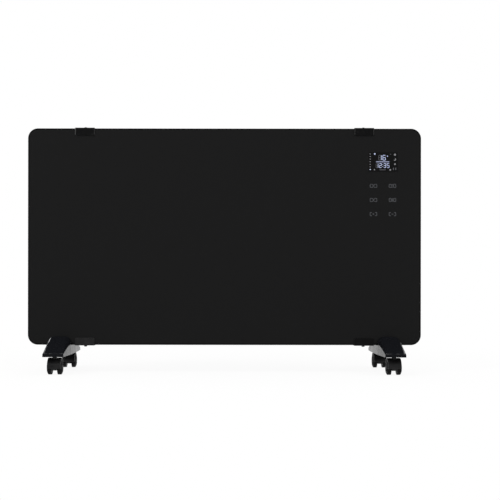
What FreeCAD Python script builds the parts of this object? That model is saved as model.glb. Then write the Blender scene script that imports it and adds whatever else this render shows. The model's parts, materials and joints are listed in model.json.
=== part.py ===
import FreeCAD, Part
import math
import os
from types import SimpleNamespace

import Sketcher
from FreeCAD import Placement, Rotation, Vector

# Driving dimensions, in millimetres and degrees, with plain counts. The floor is Z = 0, the glass
# faces -Y and heights stack up from the floor: wheel, hood, neck, leg, case.
SIZES = {
    # Fits shared by several pieces
    "running_clearance": 0.05,
    "seat_clearance": 0.02,
    "hole_clearance": 0.3,
    "cut_overrun": 1,
    # Castors
    "castor_end_offset": 24,
    "castor_trail": 5,
    "wheel_radius": 15.5,
    "wheel_gap": 12,
    "tread_width": 8.2,
    "tread_edge_radius": 2,
    "tread_inner_radius": 0.8,
    "wheel_dome_rise": 1.75,
    "wheel_face_wall": 2.5,
    "wheel_side_play": 0.4,
    "wheel_top_clearance": 1,
    "axle_radius": 2,
    "axle_end_gap": 0.3,
    "hood_wall": 2.7,
    "hood_width": 28,
    "hood_rim_radius": 1.5,
    "hood_skirt_height": 13,
    "web_bottom_height": 9.5,
    "neck_radius": 4.5,
    "neck_height": 2.4,
    "swivel_gap": 0.3,
    "stem_radius": 4,
    "stem_root_radius": 3,
    "stem_root_length": 12,
    "stem_length": 9.5,
    "stem_end_gap": 0.3,
    # Legs
    "leg_side_offset": 38,
    "leg_tip_width": 42.5,
    "leg_crest_width": 48,
    "leg_length": 240,
    "leg_tip_height": 7.1,
    "leg_tip_edge_radius": 2,
    "leg_crest_height": 37.6,
    "leg_crest_land": 5,
    "leg_crest_edge_radius": 13.5,
    "leg_floor_height": 19.6,
    "leg_wall": 3,
    "leg_roof": 5,
    "leg_saddle_clearance": 1,
    "leg_block_length": 28,
    "leg_screw_spacing": 28,
    "leg_screw_boss_radius": 7,
    "leg_screw_grip": 6,
    # Glass front and the clips that hold it
    "body_depth": 60,
    "glass_width": 830,
    "glass_height": 457,
    "glass_thickness": 4,
    "glass_corner_radius": 21,
    "glass_edge_chamfer": 0.6,
    "clip_side_offset": 90,
    "clip_width": 41,
    "clip_thickness": 1,
    "clip_bend_radius": 1.2,
    "clip_tongue": 15.3,
    "clip_tongue_radius": 3,
    "clip_strap": 26,
    "clip_pad_thickness": 0.5,
    "clip_pad_margin": 1.5,
    "clip_screw_inset": 16.6,
    "pad_thickness": 4,
    "pad_length": 60,
    "pad_width": 12,
    "pad_edge_inset": 24,
    # Screws and weld nuts
    "screw_radius": 2,
    "screw_head_radius": 3.5,
    "screw_head_height": 3,
    "screw_head_bevel": 1.2,
    "screw_length": 10,
    "leg_screw_length": 12,
    "tapping_screw_length": 7,
    "nut_radius": 4.6,
    "nut_height": 3.2,
    # Sheet-steel case
    "case_width": 770,
    "sheet_thickness": 0.8,
    "case_flange": 12,
    "vent_length": 36,
    "vent_width": 4,
    "vent_corner_radius": 1.6,
    "vent_pitch_across": 48,
    "vent_pitch_up": 12,
    "vent_columns": 12,
    "vent_rows": 5,
    "vent_edge_inset": 36,
    "outlet_length": 24,
    "outlet_width": 5,
    "outlet_corner_radius": 2,
    "outlet_pitch": 12,
    "outlet_side_offset": 61,
    "outlet_back_inset": 5,
    "inlet_side_offset": 157,
    "keyhole_spacing": 400,
    "keyhole_radius": 5.5,
    "keyhole_slot_radius": 2.75,
    "keyhole_slot_length": 11,
    "keyhole_drop": 150,
    "back_screw_pitch": 190,
    # Heating elements
    "element_left_offset": 55,
    "element_right_offset": 135,
    "element_height": 68,
    "element_pitch": 50,
    "bracket_thickness": 1.2,
    "bracket_height": 145,
    "bracket_foot": 15,
    "insulator_radius": 7,
    "insulator_flange_radius": 9.5,
    "insulator_flange": 3,
    "insulator_nose": 6,
    "rod_radius": 4,
    "rod_end_length": 14,
    "fin_span": 40,
    "fin_thickness": 2,
    "fin_core_radius": 6.5,
    "fin_end_gap": 4,
    "fin_back_gap": 1.55,
    "reflector_thickness": 0.6,
    "reflector_height": 170,
    "reflector_lip": 6,
    "reflector_base_gap": 14,
    # Safety parts and sensor
    "cutout_radius": 8,
    "cutout_depth": 6,
    "cutout_flange_length": 24,
    "cutout_flange_width": 10,
    "cutout_flange_thickness": 1,
    "cutout_tab_length": 7,
    "cutout_tab_width": 4.8,
    "cutout_tab_thickness": 0.8,
    "cutout_tab_spacing": 8,
    "cutout_inset": 100,
    "cutout_top_inset": 16,
    "tilt_length": 24,
    "tilt_depth": 18,
    "tilt_height": 24,
    "tilt_cap_height": 5,
    "tilt_cap_radius": 7,
    "tilt_side_offset": 75,
    "sensor_holder": 8,
    "sensor_holder_height": 14,
    "sensor_bead_radius": 2.5,
    "sensor_bead_length": 9,
    "sensor_side_offset": 17,
    # Display and touch board behind the glass
    "display_side_offset": 50,
    "display_height": 444,
    "display_length": 62,
    "display_width": 42,
    "display_thickness": 1.8,
    "board_thickness": 1.2,
    "board_length": 84,
    "board_width": 152,
    "board_top_gap": 8,
    "key_column_spacing": 40,
    "key_row_spacing": 29.8,
    "key_first_drop": 50,
    "key_pad_radius": 6,
    "cable_hole_radius": 8,
    # Power board
    "power_length": 80,
    "power_width": 100,
    "power_thickness": 1.6,
    "power_side_offset": 73,
    "standoff_radius": 3,
    "standoff_length": 11,
    "standoff_inset": 6,
    "relay_length": 20,
    "relay_width": 16,
    "relay_height": 16,
    "relay_spacing": 32,
    "relay_base_inset": 14,
    "relay_terminal_rise": 4,
    "terminal_length": 34,
    "terminal_depth": 16,
    "terminal_height": 18,
    "terminal_step": 7,
    "terminal_side_offset": 113,
    # Power switch and cord gland
    "switch_height": 150,
    "switch_length": 20,
    "switch_width": 13,
    "switch_depth": 18,
    "switch_wall": 1.2,
    "bezel_margin": 2.5,
    "bezel_thickness": 2,
    "rocker_gap": 0.5,
    "rocker_rise": 3,
    "rocker_tilt": 8,
    "rocker_pivot_depth": 3,
    "rocker_belly": 4,
    "rocker_pin_radius": 1.2,
    "rocker_pin_reach": 0.9,
    "gland_side_offset": 45,
    "gland_height": 53,
    "gland_bore_radius": 3.6,
    "gland_wall": 3,
    "gland_flange_radius": 10,
    "gland_flange_thickness": 3,
    "gland_depth": 12,
    # Internal wires
    "wire_radius": 1.5,
    "wire_bend_radius": 3,
    "wire_pair_offset": 2,
    "wire_jumper": 7,
    "wire_turn": 15,
    "wire_entry_inset": 7,
    "wire_floor_gap": 6,
    "wire_back_gap": 3.6,
    "wire_cross_gap": 43,
}
# The fins cross at right angles, each half a right angle from the level
DIAGONAL_SHARE = math.sqrt(0.5)

doc = FreeCAD.newDocument("glass_panel_heater")
sheet = doc.addObject("Spreadsheet::Sheet", "sizes")
for row, (alias, number) in enumerate(SIZES.items(), start=1):
    sheet.set(f"A{row}", alias.replace("_", " "))
    sheet.set(f"B{row}", str(number))
    sheet.setAlias(f"B{row}", alias)
doc.recompute()


class Size:
    """A number of the sheet, or a sum of such numbers, with the expression that gives it."""

    def __init__(self, number, text):
        self.number = number
        self.text = text

    def __float__(self):
        return float(self.number)

    def __neg__(self):
        return Size(-self.number, f"-1 * {self.text}")

    def __add__(self, other):
        other = as_size(other)
        return Size(self.number + other.number, f"({self.text} + {other.text})")

    def __sub__(self, other):
        other = as_size(other)
        return Size(self.number - other.number, f"({self.text} - {other.text})")

    def __mul__(self, other):
        other = as_size(other)
        return Size(self.number * other.number, f"({self.text} * {other.text})")

    def __truediv__(self, other):
        other = as_size(other)
        return Size(self.number / other.number, f"({self.text} / {other.text})")

    def whole(self):
        return Size(round(self.number), f"round({self.text})")

    __radd__ = __add__
    __rmul__ = __mul__


def as_size(value):
    if isinstance(value, Size):
        return value
    return Size(value, f"({value})")


size = SimpleNamespace(**{alias: Size(float(sheet.get(alias)), f"sizes.{alias}") for alias in SIZES})
ZERO = as_size(0)


# Helpers that bind every size and place of a piece to the sheet
parts = []


def part(thing, label):
    """Name a finished piece, so that it is written to a file of that name."""
    thing.Label = label
    parts.append(thing)
    return thing


def bind(thing, **values):
    for name, value in values.items():
        thing.setExpression(name, as_size(value).text)


def move(thing, x, y, z):
    for axis, value in zip("xyz", (x, y, z)):
        thing.setExpression(f"Placement.Base.{axis}", as_size(value).text)
    return thing


def block(name, low, high):
    """A box from its lowest to its highest corner."""
    box = doc.addObject("Part::Box", name)
    length, width, height = (as_size(top) - base for base, top in zip(low, high))
    bind(box, Length=length, Width=width, Height=height)
    return move(box, *low)


AXIS_TURNS = {
    "+X": Rotation(Vector(0, 1, 0), 90),
    "+Y": Rotation(Vector(1, 0, 0), -90),
    "-Y": Rotation(Vector(1, 0, 0), 90),
    "+Z": Rotation(),
    "-Z": Rotation(Vector(1, 0, 0), 180),
}


def rod(name, radius, length, start, axis):
    """A cylinder that runs from a start point along an axis."""
    cylinder = doc.addObject("Part::Cylinder", name)
    cylinder.Placement = Placement(Vector(), AXIS_TURNS[axis])
    bind(cylinder, Radius=radius, Height=length)
    return move(cylinder, *start)


def joined(name, *pieces):
    fusion = doc.addObject("Part::MultiFuse", name)
    fusion.Shapes = pieces
    fusion.Refine = True
    return fusion


def without(name, base, *tools):
    cut = doc.addObject("Part::Cut", name)
    cut.Base = base
    cut.Tool = tools[0] if len(tools) == 1 else joined(f"{name}_tools", *tools)
    return cut


def group(label, pieces):
    """Like pieces that stay separate solids in one node."""
    compound = doc.addObject("Part::Compound", label)
    compound.Links = pieces
    return part(compound, label)


def new_body(label):
    body = doc.addObject("PartDesign::Body", label)
    return part(body, label)


def origin_plane(body, role):
    return next(item for item in body.Origin.OriginFeatures if item.Role == role)


def sketch_on(body, role, offset=ZERO):
    """A sketch on one of the body's origin planes, moved along that plane's normal."""
    sketch = body.newObject("Sketcher::SketchObject", f"{body.Name}_sketch")
    sketch.AttachmentSupport = [(origin_plane(body, role), "")]
    sketch.MapMode = "FlatFace"
    sketch.setExpression("AttachmentOffset.Base.z", as_size(offset).text)
    return sketch


def hold(sketch, kind, geometry, point, value):
    """Tie one coordinate of a sketched point to the sheet."""
    index = sketch.addConstraint(Sketcher.Constraint(kind, -1, 1, geometry, point, float(value)))
    sketch.setExpression(f"Constraints[{index}]", as_size(value).text)


def hold_radius(sketch, geometry, radius):
    index = sketch.addConstraint(Sketcher.Constraint("Radius", geometry, float(radius)))
    sketch.setExpression(f"Constraints[{index}]", as_size(radius).text)


def arc_between(start, end, radius):
    """The short arc that turns left from start to end."""
    chord = end - start
    rise = math.sqrt(radius ** 2 - (chord.Length / 2) ** 2)
    centre = (start + end) / 2 + Vector(-chord.y, chord.x, 0).normalize() * rise
    first = math.atan2(start.y - centre.y, start.x - centre.x)
    last = math.atan2(end.y - centre.y, end.x - centre.x)
    return Part.ArcOfCircle(Part.Circle(centre, Vector(0, 0, 1), radius), first, last)


def outline(sketch, corners):
    """A closed outline. A corner with a third value starts an arc of that radius, turning left."""
    first = sketch.GeometryCount
    count = len(corners)
    points = [Vector(float(corner[0]), float(corner[1]), 0) for corner in corners]
    for index, corner in enumerate(corners):
        start, end = points[index], points[(index + 1) % count]
        if len(corner) == 3:
            sketch.addGeometry(arc_between(start, end, float(corner[2])), False)
        else:
            sketch.addGeometry(Part.LineSegment(start, end), False)
    for index in range(count):
        following = first + (index + 1) % count
        sketch.addConstraint(Sketcher.Constraint("Coincident", first + index, 2, following, 1))
    for index, corner in enumerate(corners):
        hold(sketch, "DistanceX", first + index, 1, as_size(corner[0]))
        hold(sketch, "DistanceY", first + index, 1, as_size(corner[1]))
        if len(corner) == 3:
            hold_radius(sketch, first + index, corner[2])


def rectangle(sketch, low_x, low_y, high_x, high_y):
    outline(sketch, [(low_x, low_y), (high_x, low_y), (high_x, high_y), (low_x, high_y)])


def rounded_rectangle(sketch, low_x, low_y, high_x, high_y, radius):
    outline(sketch, [
        (low_x + radius, low_y),
        (high_x - radius, low_y, radius),
        (high_x, low_y + radius),
        (high_x, high_y - radius, radius),
        (high_x - radius, high_y),
        (low_x + radius, high_y, radius),
        (low_x, high_y - radius),
        (low_x, low_y + radius, radius),
    ])


def circle(sketch, x, y, radius):
    centre = Vector(float(x), float(y), 0)
    index = sketch.addGeometry(Part.Circle(centre, Vector(0, 0, 1), float(radius)), False)
    hold(sketch, "DistanceX", index, 3, as_size(x))
    hold(sketch, "DistanceY", index, 3, as_size(y))
    hold_radius(sketch, index, radius)


def pad(body, sketch, length, side="One side", backwards=False):
    feature = body.newObject("PartDesign::Pad", f"{body.Name}_pad")
    feature.Profile = sketch
    feature.SideType = side
    feature.Reversed = backwards
    bind(feature, Length=length)
    return feature


def pocket(body, sketch, length=None, side="One side", backwards=False):
    """Cut a sketch to a depth, or right through where no depth is given."""
    feature = body.newObject("PartDesign::Pocket", f"{body.Name}_pocket")
    feature.Profile = sketch
    feature.SideType = side
    feature.Reversed = backwards
    if length is None:
        feature.Type = "ThroughAll"
    else:
        bind(feature, Length=length)
    return feature


def mirrored(body, role, originals):
    mirror = body.newObject("PartDesign::Mirrored", f"{body.Name}_mirror")
    mirror.Originals = originals
    mirror.MirrorPlane = (origin_plane(body, role), [""])
    body.Tip = mirror
    return mirror


def repeat(body, feature, sketch, pitch, count, second_pitch=None, second_count=None):
    """Repeat a cut along its sketch, across and, where a second pitch is given, upwards."""
    pattern = body.newObject("PartDesign::LinearPattern", f"{body.Name}_pattern")
    pattern.Originals = [feature]
    pattern.Refine = False
    pattern.Direction = (sketch, ["H_Axis"])
    bind(pattern, Length=pitch * (count - 1), Occurrences=count)
    if second_pitch is not None:
        pattern.Direction2 = (sketch, ["V_Axis"])
        bind(pattern, Length2=second_pitch * (second_count - 1), Occurrences2=second_count)
    body.Tip = pattern
    return pattern


def edges_where(feature, test):
    doc.recompute()
    return [f"Edge{number}" for number, edge in enumerate(feature.Shape.Edges, start=1) if test(edge)]


def runs_along(edge, direction):
    """True for a straight edge parallel to a direction."""
    if not isinstance(edge.Curve, Part.Line):
        return False
    return abs(edge.Curve.Direction.dot(direction)) > math.cos(math.radians(1))


def dress(body, kind, feature, edges, value):
    """Fillet or chamfer some edges of a feature."""
    finish = body.newObject(f"PartDesign::{kind}", f"{body.Name}_{kind.lower()}")
    finish.Base = (feature, edges)
    if kind == "Fillet":
        bind(finish, Radius=value)
    else:
        bind(finish, Size=value)
    return finish


ALONG_X, ALONG_Y, ALONG_Z = Vector(1, 0, 0), Vector(0, 1, 0), Vector(0, 0, 1)
SIDES = {"left": -1, "right": 1}
ENDS = {"front": -1, "rear": 1}

# Levels and planes that the pieces share, from the floor up and from the glass back
axle_height = size.wheel_radius
well_radius = size.wheel_radius + size.wheel_top_clearance
hood_radius = well_radius + size.hood_wall
hood_top = axle_height + hood_radius
neck_top = hood_top + size.neck_height
leg_bottom = neck_top + size.swivel_gap
case_bottom = leg_bottom + size.leg_floor_height
glass_bottom = case_bottom + size.clip_pad_thickness
glass_top = glass_bottom + size.glass_height
case_top = glass_top + size.clip_pad_thickness
inside_bottom = case_bottom + size.sheet_thickness
inside_top = case_top - size.sheet_thickness

glass_front = -(size.body_depth / 2)
glass_back = glass_front + size.glass_thickness
plate_front = glass_back + size.pad_thickness
plate_back = plate_front + size.sheet_thickness
panel_back = size.body_depth / 2
panel_front = panel_back - size.sheet_thickness
inside_front = plate_back + size.sheet_thickness
inside_back = panel_front - size.sheet_thickness
case_half = size.case_width / 2
inside_half = case_half - size.sheet_thickness

# Places across the heater, each set in from the side of the case that carries it
leg_place = case_half - size.leg_side_offset
castor_place = size.leg_length / 2 - size.castor_end_offset
clip_place = case_half - size.clip_side_offset
display_place = case_half - size.display_side_offset
power_place = case_half - size.power_side_offset
terminal_place = case_half - size.terminal_side_offset
tilt_place = case_half - size.tilt_side_offset
sensor_place = case_half - size.sensor_side_offset
gland_place = case_half - size.gland_side_offset

screw_hole_radius = size.screw_radius + size.hole_clearance
sheet_cut = (size.sheet_thickness + size.cut_overrun) * 2
clip_front = glass_front - size.clip_pad_thickness - size.clip_thickness
clip_screw_y = clip_front + size.clip_screw_inset


# Castors: a moulded hood on a steel stem, with a wheel on each side of its web
def castor_hood(label, x, y):
    web = size.wheel_gap - size.wheel_side_play * 2
    body = new_body(label)
    disc = sketch_on(body, "YZ_Plane")
    circle(disc, size.castor_trail, axle_height, hood_radius)
    drum = pad(body, disc, size.hood_width, side="Symmetric")
    rims = edges_where(drum, lambda edge: not isinstance(edge.Curve, Part.Line))
    dress(body, "Fillet", drum, rims, size.hood_rim_radius)
    neck = sketch_on(body, "XY_Plane", axle_height)
    circle(neck, ZERO, ZERO, size.neck_radius)
    pad(body, neck, neck_top - axle_height)
    well = sketch_on(body, "YZ_Plane", web / 2)
    circle(well, size.castor_trail, axle_height, well_radius)
    well_cut = pocket(body, well, backwards=True)
    skirt = sketch_on(body, "YZ_Plane", web / 2)
    reach = hood_radius + size.cut_overrun
    rectangle(skirt, size.castor_trail - reach, -size.cut_overrun,
              size.castor_trail + reach, size.hood_skirt_height)
    skirt_cut = pocket(body, skirt, backwards=True)
    mirrored(body, "YZ_Plane", [well_cut, skirt_cut])
    foot = sketch_on(body, "YZ_Plane")
    rectangle(foot, size.castor_trail - reach, -size.cut_overrun - hood_radius,
              size.castor_trail + reach, size.web_bottom_height)
    pocket(body, foot, side="Symmetric")
    axle_hole = sketch_on(body, "YZ_Plane")
    circle(axle_hole, size.castor_trail, axle_height, size.axle_radius + size.seat_clearance)
    pocket(body, axle_hole, side="Symmetric")
    stem_hole = sketch_on(body, "XY_Plane", neck_top)
    circle(stem_hole, ZERO, ZERO, size.stem_root_radius + size.seat_clearance)
    pocket(body, stem_hole, size.stem_root_length + size.seat_clearance)
    move(body, x, y, ZERO)


def castor_stem(label, x, y):
    root = rod(f"{label}_root", size.stem_root_radius, size.stem_root_length,
               (x, y, neck_top - size.stem_root_length), "+Z")
    journal = rod(f"{label}_journal", size.stem_radius, size.stem_length, (x, y, neck_top), "+Z")
    part(joined(label, root, journal), label)


wheel_inner = size.wheel_gap / 2
wheel_outer = wheel_inner + size.tread_width
wheel_face = wheel_outer + size.wheel_dome_rise
bore_end = wheel_face - size.wheel_face_wall
axle_half = bore_end - size.axle_end_gap


def castor_axle(label, x, y):
    start = (x - axle_half, y + size.castor_trail, axle_height)
    part(rod(label, size.axle_radius, axle_half * 2, start, "+X"), label)


def castor_wheel(label, x, y, side):
    """A wheel with a rounded tread, a domed outer face and a blind bore, turned about the axle."""
    edge = size.tread_edge_radius
    inner_edge = size.tread_inner_radius
    bore = size.axle_radius + size.running_clearance
    shoulder = size.wheel_radius - edge
    dome = (shoulder * shoulder + size.wheel_dome_rise * size.wheel_dome_rise) / (size.wheel_dome_rise * 2)
    corners = [
        (bore_end, ZERO),
        (wheel_face, ZERO, dome),
        (wheel_outer, shoulder, edge),
        (wheel_outer - edge, size.wheel_radius),
        (wheel_inner + inner_edge, size.wheel_radius, inner_edge),
        (wheel_inner, size.wheel_radius - inner_edge),
        (wheel_inner, bore),
        (bore_end, bore),
    ]
    body = new_body(label)
    profile = sketch_on(body, "XY_Plane")
    outline(profile, corners)
    turned = body.newObject("PartDesign::Revolution", f"{label}_turned")
    turned.Profile = profile
    turned.ReferenceAxis = (profile, ["H_Axis"])
    if side < 0:
        body.Placement = Placement(Vector(), Rotation(ALONG_Z, 180))
    move(body, x, y + size.castor_trail, axle_height)


for end, end_sign in ENDS.items():
    for side, side_sign in SIDES.items():
        corner = f"{end}_{side}"
        pivot_x = leg_place * side_sign
        pivot_y = castor_place * end_sign
        castor_hood(f"castor_hood_{corner}", pivot_x, pivot_y)
        castor_stem(f"castor_stem_{corner}", pivot_x, pivot_y)
        castor_axle(f"castor_axle_{corner}", pivot_x, pivot_y)
        castor_wheel(f"castor_wheel_{corner}_outer", pivot_x, pivot_y, side_sign)
        castor_wheel(f"castor_wheel_{corner}_inner", pivot_x, pivot_y, -side_sign)

# Legs: a moulded beam with a saddle for the case, two ramps and pockets in its underside
saddle_half = size.body_depth / 2 + size.leg_saddle_clearance
crest_half = saddle_half + size.leg_crest_land
leg_half = size.leg_length / 2
block_inner = castor_place - size.leg_block_length / 2
ramp_slope = (size.leg_crest_height - size.leg_tip_height) / (leg_half - crest_half)
screw_y = size.leg_screw_spacing / 2


def leg_section(sketch, width, height, radius):
    """The leg's cross-section: flat below, with two rounded upper edges."""
    half = width / 2
    top = leg_bottom + height
    outline(sketch, [
        (-half, leg_bottom),
        (half, leg_bottom),
        (half, top - radius, radius),
        (half - radius, top),
        (radius - half, top, radius),
        (-half, top - radius),
    ])


def leg(label, side_sign):
    body = new_body(label)
    floor = sketch_on(body, "YZ_Plane")
    rectangle(floor, -saddle_half, leg_bottom, saddle_half, case_bottom)
    pad(body, floor, size.leg_crest_width, side="Symmetric")
    crest = sketch_on(body, "XZ_Plane", saddle_half)
    leg_section(crest, size.leg_crest_width, size.leg_crest_height, size.leg_crest_edge_radius)
    land = pad(body, crest, size.leg_crest_land)
    ramp_top = sketch_on(body, "XZ_Plane", crest_half)
    leg_section(ramp_top, size.leg_crest_width, size.leg_crest_height, size.leg_crest_edge_radius)
    ramp_tip = sketch_on(body, "XZ_Plane", leg_half)
    leg_section(ramp_tip, size.leg_tip_width, size.leg_tip_height, size.leg_tip_edge_radius)
    ramp = body.newObject("PartDesign::AdditiveLoft", f"{label}_ramp")
    ramp.Profile = ramp_top
    ramp.Sections = [ramp_tip]
    ramp.Ruled = True
    mirrored(body, "XZ_Plane", [land, ramp])
    hollow = sketch_on(body, "YZ_Plane")
    roof_low = leg_bottom + size.leg_tip_height + ramp_slope * (leg_half - block_inner) - size.leg_roof
    roof_high = leg_bottom + size.leg_crest_height - size.leg_roof - size.leg_wall
    hollow_end = saddle_half + size.leg_wall
    for sign in ENDS.values():
        outline(hollow, [
            (block_inner * sign, leg_bottom - size.cut_overrun),
            (hollow_end * sign, leg_bottom - size.cut_overrun),
            (hollow_end * sign, roof_high),
            (block_inner * sign, roof_low),
        ])
    core_half = screw_y - size.leg_screw_boss_radius
    rectangle(hollow, -core_half, leg_bottom - size.cut_overrun, core_half, case_bottom - size.leg_roof)
    pocket(body, hollow, size.leg_tip_width - size.leg_wall * 2, side="Symmetric")
    sockets = sketch_on(body, "XY_Plane", leg_bottom)
    recesses = sketch_on(body, "XY_Plane", leg_bottom)
    screw_holes = sketch_on(body, "XY_Plane", leg_bottom)
    for sign in ENDS.values():
        circle(sockets, ZERO, castor_place * sign, size.stem_radius + size.running_clearance)
        circle(recesses, ZERO, screw_y * sign, size.screw_head_radius + size.hole_clearance)
        circle(screw_holes, ZERO, screw_y * sign, screw_hole_radius)
    pocket(body, sockets, size.stem_length + size.stem_end_gap, backwards=True)
    pocket(body, recesses, size.leg_floor_height - size.leg_screw_grip, backwards=True)
    pocket(body, screw_holes, size.leg_floor_height + size.cut_overrun, backwards=True)
    move(body, leg_place * side_sign, ZERO, ZERO)


for side, side_sign in SIDES.items():
    leg(f"leg_{side}", side_sign)


# Screws and weld nuts
def screw(name, length, seat, axis):
    """A pan-head screw whose head stands on its seat and whose shank points the other way."""
    x, y, z = seat
    straight = size.screw_head_height - size.screw_head_bevel
    reach = {"+Z": (0, 1), "-Z": (0, -1), "+Y": (1, 0)}[axis]
    back = {"+Z": "-Z", "-Z": "+Z", "+Y": "-Y"}[axis]
    shank = rod(f"{name}_shank", size.screw_radius, length, seat, back)
    head = rod(f"{name}_head", size.screw_head_radius, straight, seat, axis)
    crown = doc.addObject("Part::Cone", f"{name}_crown")
    crown.Placement = Placement(Vector(), AXIS_TURNS[axis])
    bind(crown, Radius1=size.screw_head_radius, Radius2=size.screw_head_radius - size.screw_head_bevel,
         Height=size.screw_head_bevel)
    move(crown, x, y + straight * reach[0], z + straight * reach[1])
    return joined(name, shank, head, crown)


def weld_nut(name, seat, axis):
    """A hexagon nut that stands on the inside of a panel, bored for the screw."""
    nut = doc.addObject("Part::Prism", f"{name}_blank")
    nut.Polygon = 6
    nut.Placement = Placement(Vector(), AXIS_TURNS[axis])
    bind(nut, Circumradius=size.nut_radius, Height=size.nut_height)
    move(nut, *seat)
    bore = rod(f"{name}_bore", size.screw_radius + size.seat_clearance, size.nut_height, seat, axis)
    return without(name, nut, bore)


clip_screws, leg_screws, nuts = [], [], []
for side, side_sign in SIDES.items():
    clip_x = clip_place * side_sign
    clip_screws.append(screw(f"clip_screw_top_{side}", size.screw_length,
                             (clip_x, clip_screw_y, case_top + size.clip_thickness), "+Z"))
    clip_screws.append(screw(f"clip_screw_bottom_{side}", size.screw_length,
                             (clip_x, clip_screw_y, case_bottom - size.clip_thickness), "-Z"))
    nuts.append(weld_nut(f"clip_nut_top_{side}", (clip_x, clip_screw_y, inside_top), "-Z"))
    nuts.append(weld_nut(f"clip_nut_bottom_{side}", (clip_x, clip_screw_y, inside_bottom), "+Z"))
    for end, end_sign in ENDS.items():
        place_x, place_y = leg_place * side_sign, screw_y * end_sign
        leg_screws.append(screw(f"leg_screw_{end}_{side}", size.leg_screw_length,
                                (place_x, place_y, case_bottom - size.leg_screw_grip), "-Z"))
        nuts.append(weld_nut(f"leg_nut_{end}_{side}", (place_x, place_y, inside_bottom), "+Z"))
group("clip_screws", clip_screws)
group("leg_screws", leg_screws)
group("weld_nuts", nuts)

# Glass: one tempered pane with rounded corners and a small ground edge
glass = new_body("glass_panel")
pane = sketch_on(glass, "XZ_Plane", -glass_back)
rounded_rectangle(pane, -(size.glass_width / 2), glass_bottom, size.glass_width / 2, glass_top,
                  size.glass_corner_radius)
sheet_of_glass = pad(glass, pane, size.glass_thickness)
rim = edges_where(sheet_of_glass, lambda edge: not runs_along(edge, ALONG_Y))
dress(glass, "Chamfer", sheet_of_glass, rim, size.glass_edge_chamfer)

pads = []
pad_place_shares = (-1, -1 / 3, 1 / 3, 1)
for height in (case_bottom + size.pad_edge_inset, case_top - size.pad_edge_inset):
    for share in pad_place_shares:
        centre = clip_place * share
        pads.append(block("glass_pad",
                          (centre - size.pad_length / 2, glass_back, height - size.pad_width / 2),
                          (centre + size.pad_length / 2, plate_front, height + size.pad_width / 2)))
group("glass_pads", pads)


# Clips: a bent steel strap that reaches over the edge of the glass, with a silicone pad under it
def clip_level(edge, outward, distance):
    """A height at some distance out from the case's upper or lower face."""
    return edge + distance * outward


def clip(label, side_sign, edge, outward):
    body = new_body(label)
    profile = sketch_on(body, "YZ_Plane")
    tongue_end = clip_level(edge, outward, -size.clip_tongue)
    outer = clip_level(edge, outward, size.clip_thickness)
    strap_end = clip_front + size.clip_strap
    outline(profile, [
        (clip_front, tongue_end),
        (clip_front + size.clip_thickness, tongue_end),
        (clip_front + size.clip_thickness, edge),
        (strap_end, edge),
        (strap_end, outer),
        (clip_front, outer),
    ])
    strap = pad(body, profile, size.clip_width, side="Symmetric")
    bend = edges_where(strap, lambda edge_line: runs_along(edge_line, ALONG_X)
                       and abs(edge_line.CenterOfMass.y - float(clip_front)) < float(size.seat_clearance)
                       and abs(edge_line.CenterOfMass.z - float(outer)) < float(size.seat_clearance))
    rounded = dress(body, "Fillet", strap, bend, size.clip_bend_radius)
    tips = edges_where(rounded, lambda edge_line: runs_along(edge_line, ALONG_Y)
                       and abs(edge_line.CenterOfMass.z - float(tongue_end)) < float(size.seat_clearance))
    dress(body, "Fillet", rounded, tips, size.clip_tongue_radius)
    hole = sketch_on(body, "XY_Plane", edge)
    circle(hole, ZERO, clip_screw_y, screw_hole_radius)
    pocket(body, hole, side="Symmetric")
    move(body, clip_place * side_sign, ZERO, ZERO)


def clip_pad(name, side_sign, edge, outward):
    """Silicone under the tongue and over the edge of the glass."""
    clip_x = clip_place * side_sign
    half = size.clip_width / 2 - size.clip_pad_margin
    pad_front = glass_front - size.clip_pad_thickness
    glass_edge = clip_level(edge, outward, -size.clip_pad_thickness)
    tongue_end = clip_level(edge, outward, size.clip_pad_margin - size.clip_tongue)
    low, high = (tongue_end, edge) if outward > 0 else (edge, tongue_end)
    low_edge, high_edge = (glass_edge, edge) if outward > 0 else (edge, glass_edge)
    face = block(f"{name}_face", (clip_x - half, pad_front, low), (clip_x + half, glass_front, high))
    lap = block(f"{name}_lap", (clip_x - half, glass_front, low_edge),
                (clip_x + half, glass_back, high_edge))
    return joined(name, face, lap)


clip_pads = []
for side, side_sign in SIDES.items():
    for level, edge, outward in (("top", case_top, 1), ("bottom", case_bottom, -1)):
        clip(f"clip_{level}_{side}", side_sign, edge, outward)
        clip_pads.append(clip_pad(f"clip_pad_{level}_{side}", side_sign, edge, outward))
group("clip_pads", clip_pads)

# Case: sheet-steel panels. The top and bottom are channels that run between the two sides.
front_plate = new_body("front_plate")
plate = sketch_on(front_plate, "XZ_Plane", -plate_back)
rectangle(plate, -case_half, case_bottom, case_half, case_top)
pad(front_plate, plate, size.sheet_thickness)
cable_hole = sketch_on(front_plate, "XZ_Plane", -plate_back)
cable_height = size.display_height - size.key_first_drop - size.key_row_spacing
circle(cable_hole, display_place, cable_height, size.cable_hole_radius)
pocket(front_plate, cable_hole, side="Symmetric")


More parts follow.
